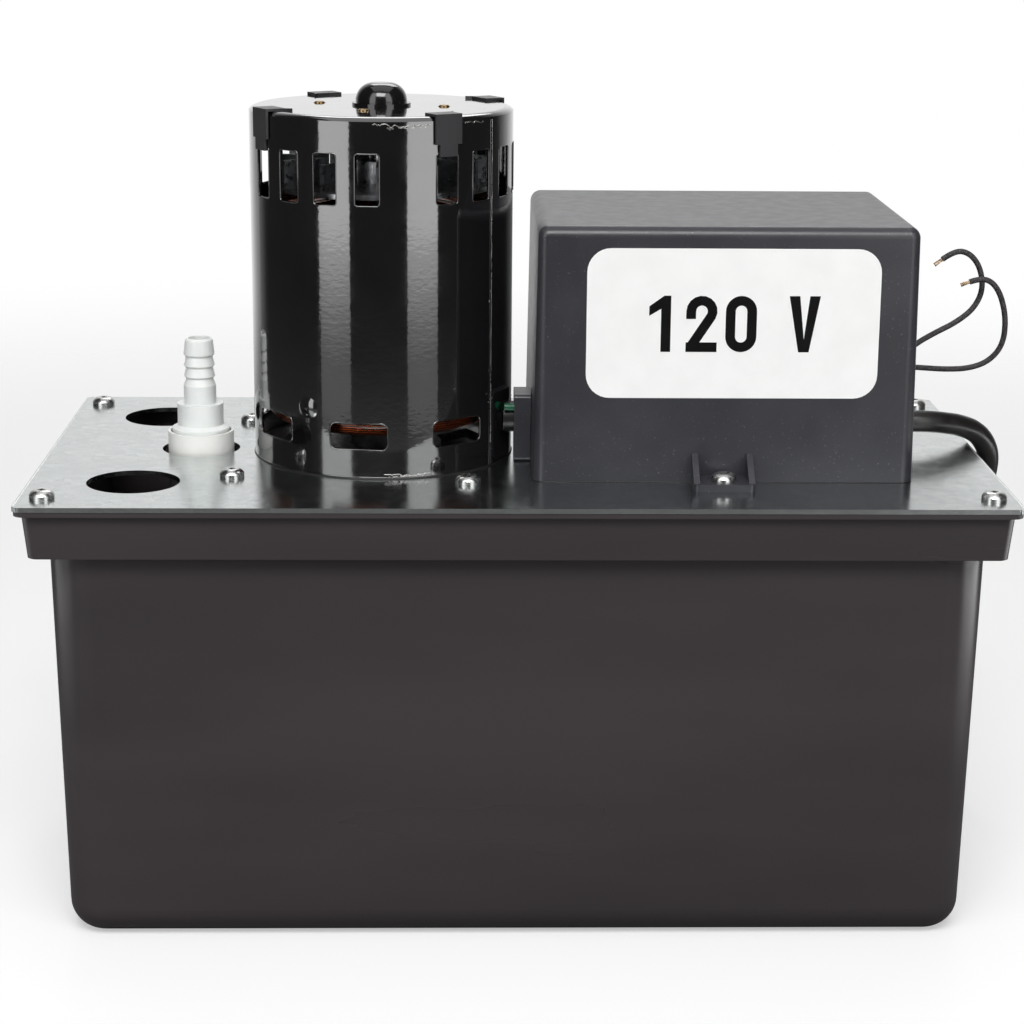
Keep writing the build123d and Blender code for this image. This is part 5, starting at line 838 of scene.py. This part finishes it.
# ---------------------------------------------------------------- label and its marks
def outline_object(name, outlines, thickness):
    """A thin filled curve object from closed outlines in millimetres, flat in its own XY plane."""
    data = bpy.data.curves.new(name, "CURVE")
    data.dimensions = "2D"
    data.fill_mode = "BOTH"
    data.extrude = thickness / 2 * MM
    for outline in outlines:
        spline = data.splines.new("POLY")
        spline.points.add(len(outline) - 1)
        for knot, (x, y) in zip(spline.points, outline):
            knot.co = (x * MM, y * MM, 0, 1)
        spline.use_cyclic_u = True
    return add_object(name, data)


def on_cover(piece, x, rise, lift):
    """Place a flat piece on the cover's front face, its middle rise above the deck and lift off the face."""
    draft = math.radians(COVER_DRAFT)
    piece.matrix_world = (Matrix.Translation(metres((x, -COVER_FACE + rise * math.tan(draft), DECK + rise)))
                          @ Matrix.Rotation(math.radians(90) - draft, 4, "X")
                          @ Matrix.Translation((0, 0, lift * MM)))


label = outline_object("rating_label", [round_rectangle(*LABEL_SIZE, LABEL_CORNER)], LABEL_THICKNESS)
on_cover(label, LABEL_X, LABEL_RISE, LABEL_THICKNESS / 2 + SEAT)
dress(label, "label_white")


def stroke(points, width, cut):
    """The outline of a pen stroke of even width along points, its end cut level at a height."""
    left, right = [], []
    for index, (x, y) in enumerate(points):
        before = points[max(index - 1, 0)]
        after = points[min(index + 1, len(points) - 1)]
        along = Vector((after[0] - before[0], after[1] - before[1])).normalized()
        across = Vector((-along.y, along.x)) * (width / 2)
        for side, sign in ((left, 1), (right, -1)):
            edge = (x + sign * across.x, y + sign * across.y)
            if index == len(points) - 1:
                edge = (edge[0] + (cut - edge[1]) * along.x / along.y, cut)
            side.append(edge)
    return left + right[::-1]


def arc(centre, radius, start, end):
    """Points on a circle's arc, from a start to an end angle in degrees."""
    angles = [math.radians(start + (end - start) * step / ARC_STEPS) for step in range(ARC_STEPS + 1)]
    return [(centre[0] + radius * math.cos(angle), centre[1] + radius * math.sin(angle)) for angle in angles]


def digit_one(wide, high, pen):
    """A plain one: a stem with a flag."""
    stem = wide * 0.12
    top = high / 2
    flag = -wide * 0.42
    return [[(stem - pen / 2, -top), (stem + pen / 2, -top), (stem + pen / 2, top), (stem - pen * 0.2, top),
             (flag, top - pen * 1.1), (flag, top - pen * 2.1), (stem - pen / 2, top - pen * 1.35)]]


def digit_two(wide, high, pen):
    """A plain two: a hook down to a foot."""
    reach = (wide - pen) / 2
    bowl = (0, high / 2 - wide / 2)
    foot_top = -high / 2 + pen
    hook = [(-reach, bowl[1] - pen * 0.8), *arc(bowl, reach, 180, -28), (-reach * 0.72, foot_top)]
    foot = [(-wide / 2, foot_top), (-wide / 2, -high / 2), (wide / 2, -high / 2), (wide / 2, foot_top)]
    return [stroke(hook, pen, cut=foot_top), foot]


def digit_nought(wide, high, pen):
    """A plain nought: an outer and an inner outline."""
    return [round_rectangle(wide, high, wide / 2),
            round_rectangle(wide - 2 * pen, high - 2 * pen, wide / 2 - pen)]


def letter_v(wide, high, pen):
    """A plain V."""
    arm = pen * 1.08
    top = high / 2
    return [[(-wide / 2, top), (-wide / 2 + arm, top), (0, -top + pen * 1.3), (wide / 2 - arm, top),
             (wide / 2, top), (arm / 2, -top), (-arm / 2, -top)]]


marks = ((-1.8, digit_one), (-0.8, digit_two), (0.2, digit_nought), (1.8, letter_v))    # place in pitches
for number, (place, make_glyph) in enumerate(marks, start=1):
    outlines = make_glyph(GLYPH_WIDTH, GLYPH_HEIGHT, GLYPH_PEN)
    glyph = outline_object(f"rating_mark_{number}", outlines, INK_THICKNESS)
    on_cover(glyph, LABEL_X + place * GLYPH_PITCH, LABEL_RISE, LABEL_THICKNESS + INK_THICKNESS / 2 + SEAT)
    dress(glyph, "label_ink")
